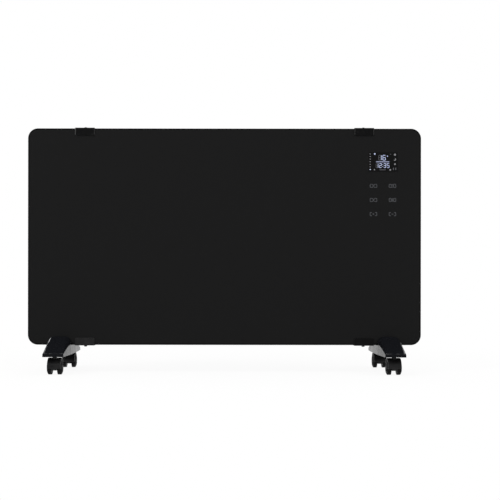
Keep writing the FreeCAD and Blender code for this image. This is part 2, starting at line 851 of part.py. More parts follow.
def channel(label, web_face, inward, slot_inset, extra_holes):
    """A panel with a flange along its front and back, screw holes and a row of slots near its back."""
    body = new_body(label)
    inner = web_face + size.sheet_thickness * inward
    lip = web_face + size.case_flange * inward
    profile = sketch_on(body, "YZ_Plane")
    outline(profile, [
        (plate_back, web_face),
        (plate_back, lip),
        (inside_front, lip),
        (inside_front, inner),
        (inside_back, inner),
        (inside_back, lip),
        (panel_front, lip),
        (panel_front, web_face),
    ])
    pad(body, profile, inside_half * 2, side="Symmetric")
    holes = sketch_on(body, "XY_Plane", web_face)
    for sign in SIDES.values():
        circle(holes, clip_place * sign, clip_screw_y, screw_hole_radius)
    for hole_x, hole_y in extra_holes:
        circle(holes, hole_x, hole_y, screw_hole_radius)
    pocket(body, holes, sheet_cut, side="Symmetric")
    slot = sketch_on(body, "XY_Plane", web_face)
    slot_count = ((case_half - slot_inset) * 2 / size.outlet_pitch).whole() + 1
    first = -(size.outlet_pitch * (slot_count - 1) / 2)
    slot_back = inside_back - size.outlet_back_inset
    rounded_rectangle(slot, first - size.outlet_width / 2, slot_back - size.outlet_length,
                      first + size.outlet_width / 2, slot_back, size.outlet_corner_radius)
    cut = pocket(body, slot, sheet_cut, side="Symmetric")
    repeat(body, cut, slot, size.outlet_pitch, slot_count)


leg_holes = [(leg_place * side_sign, screw_y * end_sign)
             for side_sign in SIDES.values() for end_sign in ENDS.values()]
channel("top_cover", case_top, -1, size.outlet_side_offset, [])
channel("case_bottom", case_bottom, 1, size.inlet_side_offset, leg_holes)

# Sides: flanged front and back, with the flanges stopping short of the top and bottom channels
flange_low = case_bottom + size.case_flange + size.hole_clearance
flange_high = case_top - size.case_flange - size.hole_clearance
switch_z = case_bottom + size.switch_height
switch_y = (plate_back + panel_front) / 2
for side, side_sign in SIDES.items():
    outer, inner = case_half * side_sign, inside_half * side_sign
    lip = (case_half - size.case_flange) * side_sign
    low_x, high_x = (inner, outer) if side_sign > 0 else (outer, inner)
    low_lip, high_lip = (lip, inner) if side_sign > 0 else (inner, lip)
    wall = block(f"side_wall_{side}", (low_x, plate_back, case_bottom), (high_x, panel_front, case_top))
    front_lip = block(f"side_front_{side}", (low_lip, plate_back, flange_low),
                      (high_lip, inside_front, flange_high))
    back_lip = block(f"side_back_{side}", (low_lip, inside_back, flange_low),
                     (high_lip, panel_front, flange_high))
    folded = joined(f"side_folded_{side}", wall, front_lip, back_lip)
    if side_sign > 0:
        half_y = size.switch_width / 2 + size.hole_clearance
        half_z = size.switch_length / 2 + size.hole_clearance
        window = block("switch_window",
                       (inner - size.cut_overrun, switch_y - half_y, switch_z - half_z),
                       (outer + size.cut_overrun, switch_y + half_y, switch_z + half_z))
        folded = without("side_with_window", folded, window)
    lip_centre = (case_half - size.case_flange / 2) * side_sign
    taps = [rod(f"side_tap_{side}", size.screw_radius, size.sheet_thickness + size.cut_overrun * 2,
                (lip_centre, inside_back - size.cut_overrun, (flange_low + flange_high) / 2
                 + size.back_screw_pitch * step), "+Y") for step in (-1, 0, 1)]
    part(without(f"case_side_{side}_cut", folded, *taps), f"case_side_{side}")

# Back: a flat panel with two fields of vents, two keyholes, screw holes and the gland's hole
gland_z = case_bottom + size.gland_height
gland_barrel_radius = size.gland_bore_radius + size.gland_wall
case_back = new_body("case_back")
back_sheet = sketch_on(case_back, "XZ_Plane", -panel_back)
rectangle(back_sheet, -case_half, case_bottom, case_half, case_top)
pad(case_back, back_sheet, size.sheet_thickness)
keyhole_z = case_top - size.keyhole_drop
entries = sketch_on(case_back, "XZ_Plane", -panel_back)
necks = sketch_on(case_back, "XZ_Plane", -panel_back)
for sign in SIDES.values():
    keyhole_x = size.keyhole_spacing / 2 * sign
    circle(entries, keyhole_x, keyhole_z, size.keyhole_radius)
    rectangle(necks, keyhole_x - size.keyhole_slot_radius, keyhole_z,
              keyhole_x + size.keyhole_slot_radius, keyhole_z + size.keyhole_slot_length)
circle(entries, gland_place, gland_z, gland_barrel_radius + size.seat_clearance)
back_screws = []
screw_middle = (flange_low + flange_high) / 2
for sign in SIDES.values():
    for step in (-1, 0, 1):
        screw_x = (case_half - size.case_flange / 2) * sign
        screw_z = screw_middle + size.back_screw_pitch * step
        circle(entries, screw_x, screw_z, screw_hole_radius)
        back_screws.append(screw("case_screw", size.tapping_screw_length,
                                 (screw_x, panel_back, screw_z), "+Y"))
pocket(case_back, entries, sheet_cut, side="Symmetric")
pocket(case_back, necks, sheet_cut, side="Symmetric")
group("case_screws", back_screws)
vents = sketch_on(case_back, "XZ_Plane", -panel_back)
vent_left = -(size.vent_pitch_across * (size.vent_columns - 1) / 2)
vent_rise = size.vent_pitch_up * (size.vent_rows - 1)
for vent_z in (case_bottom + size.vent_edge_inset, case_top - size.vent_edge_inset - vent_rise):
    rounded_rectangle(vents, vent_left - size.vent_length / 2, vent_z - size.vent_width / 2,
                      vent_left + size.vent_length / 2, vent_z + size.vent_width / 2, size.vent_corner_radius)
vent_cut = pocket(case_back, vents, sheet_cut, side="Symmetric")
repeat(case_back, vent_cut, vents, size.vent_pitch_across, size.vent_columns,
       size.vent_pitch_up, size.vent_rows)

# Heating elements: two finned rods carried in ceramic insulators between two brackets
element_y = switch_y
lower_rod = inside_bottom + size.element_height
rod_heights = (lower_rod, lower_rod + size.element_pitch)
bracket_left = size.element_left_offset - case_half
bracket_right = case_half - size.element_right_offset
fin_reach = (size.fin_span + size.fin_thickness) / 2 * DIAGONAL_SHARE
bracket_back = element_y + fin_reach + size.fin_back_gap
inner_left = bracket_left + size.bracket_thickness
inner_right = bracket_right - size.bracket_thickness


def bracket(label, low_x, high_x, foot_low, foot_high):
    top = inside_bottom + size.bracket_height
    upright = block(f"{label}_upright", (low_x, inside_front, inside_bottom), (high_x, bracket_back, top))
    foot = block(f"{label}_foot", (foot_low, inside_front, inside_bottom),
                 (foot_high, bracket_back, inside_bottom + size.bracket_thickness))
    holes = [rod(f"{label}_hole", size.insulator_radius + size.seat_clearance,
                 size.bracket_thickness + size.cut_overrun * 2,
                 (low_x - size.cut_overrun, element_y, height), "+X") for height in rod_heights]
    part(without(f"{label}_cut", joined(f"{label}_folded", upright, foot), *holes), label)


bracket("element_bracket_left", bracket_left, inner_left, inner_left, inner_left + size.bracket_foot)
bracket("element_bracket_right", inner_right, bracket_right, inner_right - size.bracket_foot, inner_right)

insulators, fins, rods = [], [], []
flange_left = inner_left + size.insulator_flange
flange_right = inner_right - size.insulator_flange
for height in rod_heights:
    for nose, flange, nose_start in (
        ("left", inner_left, bracket_left - size.insulator_nose),
        ("right", flange_right, inner_right),
    ):
        barrel = rod(f"insulator_barrel_{nose}", size.insulator_radius,
                     size.insulator_nose + size.bracket_thickness, (nose_start, element_y, height), "+X")
        collar = rod(f"insulator_collar_{nose}", size.insulator_flange_radius, size.insulator_flange,
                     (flange, element_y, height), "+X")
        bore_start = nose_start if nose == "left" else flange
        bore_length = size.insulator_nose + size.bracket_thickness + size.insulator_flange
        bore = rod(f"insulator_bore_{nose}", size.rod_radius + size.seat_clearance, bore_length,
                   (bore_start, element_y, height), "+X")
        insulators.append(without(f"insulator_{nose}", joined(f"insulator_blank_{nose}", barrel, collar), bore))
    rod_start = bracket_left - size.insulator_nose - size.rod_end_length
    rod_end = bracket_right + size.insulator_nose + size.rod_end_length
    rods.append(rod("heating_rod", size.rod_radius, rod_end - rod_start,
                    (rod_start, element_y, height), "+X"))
    fin_start = flange_left + size.fin_end_gap
    fin_end = flange_right - size.fin_end_gap
    core = rod("fin_core", size.fin_core_radius, fin_end - fin_start, (fin_start, element_y, height), "+X")
    blades = []
    for turn in (-1, 1):
        blade = doc.addObject("Part::Box", "fin_blade")
        blade.Placement = Placement(Vector(), Rotation(ALONG_X, 45 * turn))
        bind(blade, Length=fin_end - fin_start, Width=size.fin_span, Height=size.fin_thickness)
        span, thick = size.fin_span / 2 * DIAGONAL_SHARE, size.fin_thickness / 2 * DIAGONAL_SHARE
        blades.append(move(blade, fin_start, element_y - span + thick * turn, height - span * turn - thick))
    fin_bore = rod("fin_bore", size.rod_radius + size.seat_clearance, fin_end - fin_start,
                   (fin_start, element_y, height), "+X")
    fins.append(without("heating_fin", joined("fin_blank", core, *blades), fin_bore))
group("element_insulators", insulators)
group("heating_rods", rods)
group("heating_fins", fins)

# Reflector: a thin sheet on the backs of the brackets, with its long edges folded back
reflector_low = inside_bottom + size.reflector_base_gap
reflector_high = reflector_low + size.reflector_height
reflector = new_body("heat_reflector")
fold = sketch_on(reflector, "YZ_Plane", bracket_left)
outline(fold, [
    (bracket_back, reflector_low),
    (bracket_back + size.reflector_lip, reflector_low),
    (bracket_back + size.reflector_lip, reflector_low + size.reflector_thickness),
    (bracket_back + size.reflector_thickness, reflector_low + size.reflector_thickness),
    (bracket_back + size.reflector_thickness, reflector_high - size.reflector_thickness),
    (bracket_back + size.reflector_lip, reflector_high - size.reflector_thickness),
    (bracket_back + size.reflector_lip, reflector_high),
    (bracket_back, reflector_high),
])
pad(reflector, fold, bracket_right - bracket_left)

# Thermal cut-out: a disc thermostat on a small flange, fixed to the reflector above the elements
cutout_x = bracket_right - size.cutout_inset
cutout_z = reflector_high - size.cutout_top_inset
flange_face = bracket_back - size.cutout_flange_thickness
cutout_face = flange_face - size.cutout_depth
flange_plate = block("cutout_flange",
                     (cutout_x - size.cutout_flange_length / 2, flange_face,
                      cutout_z - size.cutout_flange_width / 2),
                     (cutout_x + size.cutout_flange_length / 2, bracket_back,
                      cutout_z + size.cutout_flange_width / 2))
disc = rod("cutout_disc", size.cutout_radius, size.cutout_depth, (cutout_x, cutout_face, cutout_z), "+Y")
tabs = [block("cutout_tab",
              (cutout_x + size.cutout_tab_spacing / 2 * sign - size.cutout_tab_thickness / 2,
               cutout_face - size.cutout_tab_length, cutout_z - size.cutout_tab_width / 2),
              (cutout_x + size.cutout_tab_spacing / 2 * sign + size.cutout_tab_thickness / 2,
               cutout_face, cutout_z + size.cutout_tab_width / 2)) for sign in SIDES.values()]
part(joined("thermal_cutout_solid", flange_plate, disc, *tabs), "thermal_cutout")

# Tip-over switch and room sensor, both standing on the bottom panel
tilt_low = (tilt_place - size.tilt_length / 2, element_y - size.tilt_depth / 2, inside_bottom)
tilt_high = (tilt_place + size.tilt_length / 2, element_y + size.tilt_depth / 2,
             inside_bottom + size.tilt_height)
tilt_case = block("tilt_case", tilt_low, tilt_high)
tilt_cap = rod("tilt_cap", size.tilt_cap_radius, size.tilt_cap_height,
               (tilt_place, element_y, inside_bottom + size.tilt_height), "+Z")
part(joined("tilt_switch_solid", tilt_case, tilt_cap), "tilt_switch")

holder_half = size.sensor_holder / 2
holder = block("sensor_holder_block",
               (sensor_place - holder_half, element_y - holder_half, inside_bottom),
               (sensor_place + holder_half, element_y + holder_half,
                inside_bottom + size.sensor_holder_height))
bead = rod("sensor_bead", size.sensor_bead_radius, size.sensor_bead_length,
           (sensor_place, element_y, inside_bottom + size.sensor_holder_height), "+Z")
part(joined("room_sensor_solid", holder, bead), "room_sensor")

# Display and touch board: bonded to the back of the glass by its LED module and touch pads
module_back = glass_back + size.display_thickness
board_back = module_back + size.board_thickness
display_top = size.display_height + size.display_width / 2
board_top = display_top + size.board_top_gap
display = block("display_block",
                (display_place - size.display_length / 2, glass_back, display_top - size.display_width),
                (display_place + size.display_length / 2, module_back, display_top))
part(display, "display_module")
board = block("display_board_block",
              (display_place - size.board_length / 2, module_back, board_top - size.board_width),
              (display_place + size.board_length / 2, board_back, board_top))
part(board, "display_board")
key_pads = []
for row in range(3):
    for sign in SIDES.values():
        key_x = display_place + size.key_column_spacing / 2 * sign
        key_z = size.display_height - size.key_first_drop - size.key_row_spacing * row
        key_pads.append(rod("touch_pad", size.key_pad_radius, size.display_thickness,
                            (key_x, glass_back, key_z), "+Y"))
group("touch_pads", key_pads)

# Power board: stands off the front plate and carries two relays
power_face = plate_back + size.standoff_length
power_back = power_face + size.power_thickness
power_left = power_place - size.power_length / 2
power_right = power_place + size.power_length / 2
relay_low = rod_heights[1] - size.relay_terminal_rise
power_low = relay_low - size.relay_base_inset
power_high = power_low + size.power_width
part(block("power_board_block", (power_left, power_face, power_low), (power_right, power_back, power_high)),
     "power_board")
standoffs = [rod("standoff", size.standoff_radius, size.standoff_length, (x, plate_back, z), "+Y")
             for x in (power_left + size.standoff_inset, power_right - size.standoff_inset)
             for z in (power_low + size.standoff_inset, power_high - size.standoff_inset)]
group("board_standoffs", standoffs)
relays = []
for sign in SIDES.values():
    relay_x = power_place + size.relay_spacing / 2 * sign
    relays.append(block("relay", (relay_x - size.relay_width / 2, power_back, relay_low),
                        (relay_x + size.relay_width / 2, power_back + size.relay_height,
                         relay_low + size.relay_length)))
group("relays", relays)

# Terminal block: a stepped block on the bottom panel, where the supply cord ends
terminal_left = terminal_place - size.terminal_length / 2
terminal_right = terminal_place + size.terminal_length / 2
terminal_front = element_y - size.terminal_depth / 2
terminal_back = element_y + size.terminal_depth / 2
terminal_base = block("terminal_base", (terminal_left, terminal_front, inside_bottom),
                      (terminal_right, terminal_back, inside_bottom + size.terminal_height - size.terminal_step))
terminal_rail = block("terminal_rail",
                      (terminal_left, terminal_front, inside_bottom),
                      (terminal_right, terminal_back - size.terminal_step, inside_bottom + size.terminal_height))
part(joined("terminal_block_solid", terminal_base, terminal_rail), "terminal_block")

# Power switch: a body let into the right side, and a rocker on two stub pins along Y
switch_inner = inside_half - size.switch_depth
bezel_face = case_half + size.bezel_thickness
half_y, half_z = size.switch_width / 2, size.switch_length / 2
barrel = block("switch_barrel", (switch_inner, switch_y - half_y, switch_z - half_z),
               (bezel_face, switch_y + half_y, switch_z + half_z))
bezel = block("switch_bezel",
              (case_half, switch_y - half_y - size.bezel_margin, switch_z - half_z - size.bezel_margin),
              (bezel_face, switch_y + half_y + size.bezel_margin, switch_z + half_z + size.bezel_margin))
well = block("switch_well",
             (switch_inner + size.switch_wall, switch_y - half_y + size.switch_wall,
              switch_z - half_z + size.switch_wall),
             (bezel_face + size.cut_overrun, switch_y + half_y - size.switch_wall,
              switch_z + half_z - size.switch_wall))
pivot_x = bezel_face - size.rocker_pivot_depth
pin_half = half_y - size.switch_wall + size.rocker_pin_reach
pin_hole = rod("switch_pin_hole", size.rocker_pin_radius + size.running_clearance,
               (pin_half + size.seat_clearance) * 2,
               (pivot_x, switch_y - pin_half - size.seat_clearance, switch_z), "+Y")
part(without("switch_body_cut", joined("switch_body_blank", barrel, bezel), well, pin_hole), "switch_body")

rocker = new_body("switch_rocker")
rocker_half = half_z - size.switch_wall - size.rocker_gap * 2
rocker_tip = size.rocker_pivot_depth + size.rocker_rise
rocker_profile = sketch_on(rocker, "XZ_Plane")
outline(rocker_profile, [
    (ZERO, -size.rocker_belly),
    (size.rocker_pivot_depth, -rocker_half),
    (rocker_tip, -rocker_half),
    (size.rocker_pivot_depth, ZERO),
    (rocker_tip, rocker_half),
    (size.rocker_pivot_depth, rocker_half),
    (ZERO, size.rocker_belly),
    (-size.rocker_belly, ZERO),
])
pad(rocker, rocker_profile, (half_y - size.switch_wall - size.rocker_gap) * 2, side="Symmetric")
pins = sketch_on(rocker, "XZ_Plane")
circle(pins, ZERO, ZERO, size.rocker_pin_radius)
pad(rocker, pins, pin_half * 2, side="Symmetric")
rocker.Placement = Placement(Vector(), Rotation(ALONG_Y, 1))
rocker.setExpression("Placement.Rotation.Angle", size.rocker_tilt.text)
move(rocker, pivot_x, switch_y, switch_z)

# Cord gland: a flanged bush in the back panel
gland_flange = rod("gland_flange", size.gland_flange_radius, size.gland_flange_thickness,
                   (gland_place, panel_back, gland_z), "+Y")
gland_barrel = rod("gland_barrel", gland_barrel_radius, size.gland_depth + size.sheet_thickness,
                   (gland_place, panel_front - size.gland_depth, gland_z), "+Y")
gland_bore = rod("gland_bore", size.gland_bore_radius,
                 size.gland_depth + size.sheet_thickness + size.gland_flange_thickness,
                 (gland_place, panel_front - size.gland_depth, gland_z), "+Y")
gland_blank = joined("cord_gland_blank", gland_flange, gland_barrel)
part(without("cord_gland_cut", gland_blank, gland_bore), "cord_gland")


# Wires: straight runs joined by arcs, each ending on the faces that it connects
def wire(name, corners):
    bend = float(size.wire_bend_radius)
    points = [Vector(*(float(value) for value in corner)) for corner in corners]
    edges, start = [], points[0]
    for before, corner, after in zip(points, points[1:], points[2:]):
        arrive, leave = (corner - before).normalize(), (after - corner).normalize()
        reach = bend * math.tan(arrive.getAngle(leave) / 2)
        enter, depart = corner - arrive * reach, corner + leave * reach
        sagitta = (leave - arrive).normalize() * bend * (1 / math.cos(arrive.getAngle(leave) / 2) - 1)
        edges.append(Part.LineSegment(start, enter).toShape())
        edges.append(Part.Arc(enter, corner + sagitta, depart).toShape())
        start = depart
    edges.append(Part.LineSegment(start, points[-1]).toShape())
    path = Part.Wire(edges)
    section = Part.Circle(points[0], points[1] - points[0], float(size.wire_radius)).toShape()
    run = doc.addObject("Part::Feature", name)
    run.Shape = path.makePipeShell([Part.Wire([section])], True, False)
    return run


rod_left = bracket_left - size.insulator_nose - size.rod_end_length
rod_right = bracket_right + size.insulator_nose + size.rod_end_length
lower_rod, upper_rod = rod_heights
board_middle = (power_face + power_back) / 2
relay_x = power_place - size.relay_spacing / 2
tilt_top = inside_bottom + size.tilt_height + size.tilt_cap_height
sensor_top = inside_bottom + size.sensor_holder_height + size.sensor_bead_length
front_y = element_y - size.wire_pair_offset
back_y = element_y + size.wire_pair_offset
live_y = front_y - size.wire_pair_offset
return_y = bracket_back + size.wire_back_gap
left_x = rod_left - size.wire_turn
jumper_x = rod_left - size.wire_jumper
return_x = terminal_left + size.wire_entry_inset
return_z = inside_bottom + size.wire_floor_gap
live_x = terminal_right - size.wire_entry_inset
riser_x = power_right - size.wire_entry_inset
cross_z = tilt_top + size.wire_cross_gap
switched_y = back_y + size.wire_pair_offset
switched_x = power_right + size.wire_jumper
switched_z = switch_z - size.wire_pair_offset * 2
tilt_z = tilt_top + size.wire_turn
sensor_z = power_low + size.wire_turn
cutout_lead_x = cutout_x + size.cutout_tab_spacing / 2
group("internal_wires", [
    wire("display_lead", [
        (display_place, board_back, cable_height),
        (display_place, board_middle, cable_height),
        (display_place, board_middle, power_high),
    ]),
    wire("upper_element_lead", [
        (rod_right, element_y, upper_rod),
        (relay_x - size.relay_width / 2, element_y, upper_rod),
    ]),
    wire("lower_element_lead", [
        (rod_right, element_y, lower_rod),
        (relay_x, element_y, lower_rod),
        (relay_x, element_y, relay_low),
    ]),
    wire("element_jumper", [
        (rod_left, front_y, upper_rod),
        (jumper_x, front_y, upper_rod),
        (jumper_x, front_y, lower_rod),
        (rod_left, front_y, lower_rod),
    ]),
    wire("return_lead", [
        (rod_left, back_y, lower_rod),
        (left_x, back_y, lower_rod),
        (left_x, back_y, return_z),
        (left_x, return_y, return_z),
        (return_x, return_y, return_z),
        (return_x, terminal_back, return_z),
    ]),
    wire("live_lead", [
        (live_x, live_y, inside_bottom + size.terminal_height),
        (live_x, live_y, cross_z),
        (riser_x, live_y, cross_z),
        (riser_x, live_y, switch_z),
        (switch_inner, live_y, switch_z),
    ]),
    wire("switched_lead", [
        (switch_inner, switched_y, switched_z),
        (switched_x, switched_y, switched_z),
        (switched_x, board_middle, switched_z),
        (power_right, board_middle, switched_z),
    ]),
    wire("cutout_lead", [
        (cutout_lead_x, cutout_face - size.cutout_tab_length, cutout_z),
        (cutout_lead_x, board_middle, cutout_z),
        (power_left, board_middle, cutout_z),
    ]),
    wire("tilt_lead", [
        (tilt_place, element_y, tilt_top),
        (tilt_place, element_y, tilt_z),
        (tilt_place, board_middle, tilt_z),
        (tilt_place, board_middle, power_low),
    ]),
    wire("sensor_lead", [
        (sensor_place, element_y, sensor_top),
        (sensor_place, element_y, sensor_z),
        (sensor_place, board_middle, sensor_z),
        (power_right, board_middle, sensor_z),
    ]),
])

# Build, check every object and write one file for each piece
doc.recompute()
for item in doc.Objects:
    if "Invalid" in item.State or "Error" in item.State:
        raise RuntimeError(f"{item.Label} failed: {item.State}")
for piece in parts:
    if piece.Shape.isNull() or not piece.Shape.isValid():
        raise RuntimeError(f"{piece.Label} has no valid shape")
os.makedirs("parts", exist_ok=True)
for piece in parts:
    piece.Shape.exportStep(f"parts/{piece.Label}.step")
print(f"{len(parts)} pieces written")
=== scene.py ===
import json
import math

import bmesh
import bpy
from mathutils import Matrix, Vector


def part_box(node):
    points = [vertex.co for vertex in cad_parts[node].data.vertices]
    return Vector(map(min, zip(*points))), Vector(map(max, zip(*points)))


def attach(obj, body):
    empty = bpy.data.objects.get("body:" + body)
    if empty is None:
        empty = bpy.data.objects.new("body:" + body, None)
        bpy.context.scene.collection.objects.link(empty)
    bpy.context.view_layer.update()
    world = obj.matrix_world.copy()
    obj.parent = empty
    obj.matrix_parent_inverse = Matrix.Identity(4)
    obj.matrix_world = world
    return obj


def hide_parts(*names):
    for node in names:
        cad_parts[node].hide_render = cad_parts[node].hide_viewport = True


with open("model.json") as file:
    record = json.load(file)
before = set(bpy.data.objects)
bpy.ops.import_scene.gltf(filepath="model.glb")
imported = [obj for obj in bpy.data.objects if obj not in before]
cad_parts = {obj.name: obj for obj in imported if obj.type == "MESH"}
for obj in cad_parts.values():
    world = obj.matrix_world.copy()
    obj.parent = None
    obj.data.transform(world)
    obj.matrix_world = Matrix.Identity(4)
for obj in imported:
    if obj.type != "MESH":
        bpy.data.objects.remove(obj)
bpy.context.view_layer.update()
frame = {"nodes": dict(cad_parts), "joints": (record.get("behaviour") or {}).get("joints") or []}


# Castor wheels: satin black nylon, moulded in one piece, turning in pairs on a steel axle.
# The tread is scuffed pale where it rolls. Radial ribs and a ring bead, moulded with the wheel,
# stand a little proud of each domed outer face.
MM = 0.001
nodes = frame["nodes"]
joints = {joint["name"]: joint for joint in frame["joints"]}
corners = [f"{end}_{side}" for end in ("front", "rear") for side in ("left", "right")]


class Value:
    """A node socket that takes part in sums, so that a pattern reads as a formula."""

    def __init__(self, tree, socket):
        self.tree = tree
        self.socket = socket

    def node(self, kind, settings, inputs, output=0):
        """Add a node, set it up, feed its inputs by name or number, and hand back one output."""
        made = self.tree.nodes.new(kind)
        for name, setting in settings.items():
            setattr(made, name, setting)
        for key, value in inputs.items():
            for single in value if isinstance(value, list) else [value]:
                if isinstance(single, Value):
                    self.tree.links.new(single.socket, made.inputs[key])
                else:
                    made.inputs[key].default_value = single
        return Value(self.tree, made.outputs[output])

    def sum_of(self, operation, first, second):
        return self.node("ShaderNodeMath", {"operation": operation}, {0: first, 1: second})

    def __add__(self, other):
        return self.sum_of("ADD", self, other)

    def __sub__(self, other):
        return self.sum_of("SUBTRACT", self, other)

    def __rsub__(self, other):
        return self.sum_of("SUBTRACT", other, self)

    def __mul__(self, other):
        return self.sum_of("MULTIPLY", self, other)

    def __truediv__(self, other):
        return self.sum_of("DIVIDE", self, other)

    def __pow__(self, other):
        return self.sum_of("POWER", self, other)

    def __abs__(self):
        return self.sum_of("ABSOLUTE", self, 0.0)

    __radd__ = __add__
    __rmul__ = __mul__

    def larger(self, other):
        return self.sum_of("MAXIMUM", self, other)

    def along(self, axis):
        return self.node("ShaderNodeSeparateXYZ", {}, {0: self}, axis)

    def rise(self, low, high):
        """0 up to low and 1 from high on, with a smooth step between them."""
        inputs = {"Value": self, "From Min": low, "From Max": high}
        return self.node("ShaderNodeMapRange", {"interpolation_type": "SMOOTHSTEP"}, inputs)

    def grain(self, size, detail=3.0):
        """Even noise whose features are about one size across."""
        inputs = {"Vector": self, "Scale": 1 / size, "Detail": detail}
        return self.node("ShaderNodeTexNoise", {}, inputs, "Fac")

    def tint(self, first, second):
        """A colour that goes from the first to the second as this value goes from 0 to 1."""
        inputs = {0: self, 6: (*first, 1.0), 7: (*second, 1.0)}
        return self.node("ShaderNodeMix", {"data_type": "RGBA"}, inputs, 2)

    def relief(self, depth, edge_radius):
        """The normal of a surface that this value raises by up to a depth, with its edges eased."""
        eased = self.node("ShaderNodeBevel", {"samples": 4}, {"Radius": edge_radius}, "Normal")
        inputs = {"Height": self, "Distance": depth, "Normal": eased}
        return self.node("ShaderNodeBump", {}, inputs, "Normal")


def new_finish(name, **sockets):
    """A material with its even sockets set, and the place of each point on the piece."""
    finish = bpy.data.materials.new(name)
    finish.use_nodes = True
    shader = finish.node_tree.nodes["Principled BSDF"]
    for socket, value in sockets.items():
        shader.inputs[socket.replace("_", " ")].default_value = value
    coordinates = finish.node_tree.nodes.new("ShaderNodeTexCoord")
    return finish, Value(finish.node_tree, coordinates.outputs["Object"])


def feed(place, **sockets):
    """Lead varying values to the shader of the finish that a place belongs to."""
    shader = place.tree.nodes["Principled BSDF"]
    for socket, value in sockets.items():
        place.tree.links.new(value.socket, shader.inputs[socket.replace("_", " ")])


def dress(finish, *names):
    """Give CAD pieces a finish."""
    for name in names:
        for slot in nodes[name].material_slots:
            slot.material = finish


def wheel_finish(name, axle_y, axle_z, radius):
    """Nylon with a fine mould grain, scuffed paler and duller in patches on the tread."""
    tread_start, tread_full = radius - 1.4 * MM, radius - 0.2 * MM
    clean, scuffed = (0.0045, 0.0045, 0.005), (0.016, 0.0155, 0.015)
    finish, place = new_finish(name, IOR=1.5, Specular_IOR_Level=0.07)
    across = place.along("Y") - axle_y
    upward = place.along("Z") - axle_z
    distance = (across * across + upward * upward) ** 0.5
    tread = distance.rise(tread_start, tread_full)
    scuff = tread * place.grain(2.5 * MM).rise(0.35, 0.75)
    mould = place.grain(0.5 * MM)
    feed(place,
         Base_Color=scuff.tint(clean, scuffed),
         Roughness=scuff * 0.3 + mould * 0.16 + 0.40,
         Normal=(mould * 0.5 + scuff).relief(depth=0.05 * MM, edge_radius=0.3 * MM))
    return finish


def new_tree(name, **inputs):
    """A Geometry Nodes tree with a named input for each size, and those inputs as values."""
    tree = bpy.data.node_groups.new(name, "GeometryNodeTree")
    tree.interface.new_socket("Geometry", in_out="OUTPUT", socket_type="NodeSocketGeometry")
    for label, kind in inputs.items():
        tree.interface.new_socket(label, in_out="INPUT", socket_type=f"NodeSocket{kind}")
    entry = tree.nodes.new("NodeGroupInput")
    return tree, [Value(tree, entry.outputs[label]) for label in inputs]


def close_tree(shape, finish):
    """End a tree: make its copies real, give them their finish and hand them out."""
    real = shape.node("GeometryNodeRealizeInstances", {}, {"Geometry": shape})
    dressed = real.node("GeometryNodeSetMaterial", {}, {"Geometry": real, "Material": finish})
    leave = shape.tree.nodes.new("NodeGroupOutput")
    shape.tree.links.new(dressed.socket, leave.inputs[0])


def grow(name, tree, *values, start=None):
    """The plain mesh that a tree makes from its inputs, in their order."""
    carrier = bpy.data.objects.new(name, start or bpy.data.meshes.new(name))
    bpy.context.scene.collection.objects.link(carrier)
    modifier = carrier.modifiers.new(name, "NODES")
    modifier.node_group = tree
    sockets = [item for item in tree.interface.items_tree if item.in_out == "INPUT"]
    sizes = [item for item in sockets if item.socket_type != "NodeSocketGeometry"]
    for socket, value in zip(sizes, values):
        modifier[socket.identifier] = value
    grown = carrier.evaluated_get(bpy.context.evaluated_depsgraph_get())
    mesh = bpy.data.meshes.new_from_object(grown)
    mesh.name = name
    bpy.data.objects.remove(carrier)
    return mesh


def pattern_object(name, shape):
    """An object that trees copy from; it is taken out again once they are done."""
    mesh = bpy.data.meshes.new(name)
    shape.to_mesh(mesh)
    shape.free()
    return bpy.data.objects.new(name, mesh)


def add_piece(name, mesh, body, replaced=()):
    """Put a mesh in the scene as a piece of a body, in place of the CAD pieces that it replaces."""
    piece = bpy.data.objects.new(name, mesh)
    bpy.context.scene.collection.objects.link(piece)
    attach(piece, body)
    if replaced:
        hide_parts(*replaced)


def lofted(sections):
    """A closed skin through rings of points, with the first and last ring filled in."""
    shape = bmesh.new()
    rings = [[shape.verts.new(point) for point in section] for section in sections]
    for ring, following in zip(rings, rings[1:]):
        for index, corner in enumerate(ring):
            shape.faces.new((ring[index - 1], corner, following[index], following[index - 1]))
    shape.faces.new(rings[0])
    shape.faces.new(reversed(rings[-1]))
    bmesh.ops.recalc_face_normals(shape, faces=shape.faces)
    return shape


wheel_low, wheel_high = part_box("castor_wheel_front_right_outer")
wheel_radius = (wheel_high.z - wheel_low.z) / 2
dome_rise = 1.75 * MM
shoulder_radius = wheel_radius - 2 * MM
rib_start, rib_end = 4.2 * MM, 11.6 * MM
rib_width, rib_proud, rib_root = 1.3 * MM, 0.35 * MM, 0.5 * MM
rib_count, rib_steps = 8, 6
ring_radius, ring_bead = 11.8 * MM, 0.7 * MM
ring_facets, ring_bead_facets = 40, 8


def dome_fall(radius):
    """How far the domed face lies below its middle at a distance from the axle."""
    return dome_rise * (radius / shoulder_radius) ** 2


rib_sections = []
for step in range(rib_steps + 1):
    reach = rib_start + (rib_end - rib_start) * step / rib_steps
    top, root = rib_proud - dome_fall(reach), -rib_root - dome_fall(reach)
    rib_sections.append([(root, -rib_width / 2, reach), (top, -rib_width / 3, reach),
                         (top, rib_width / 3, reach), (root, rib_width / 2, reach)])
rib = pattern_object("wheel_rib", lofted(rib_sections))

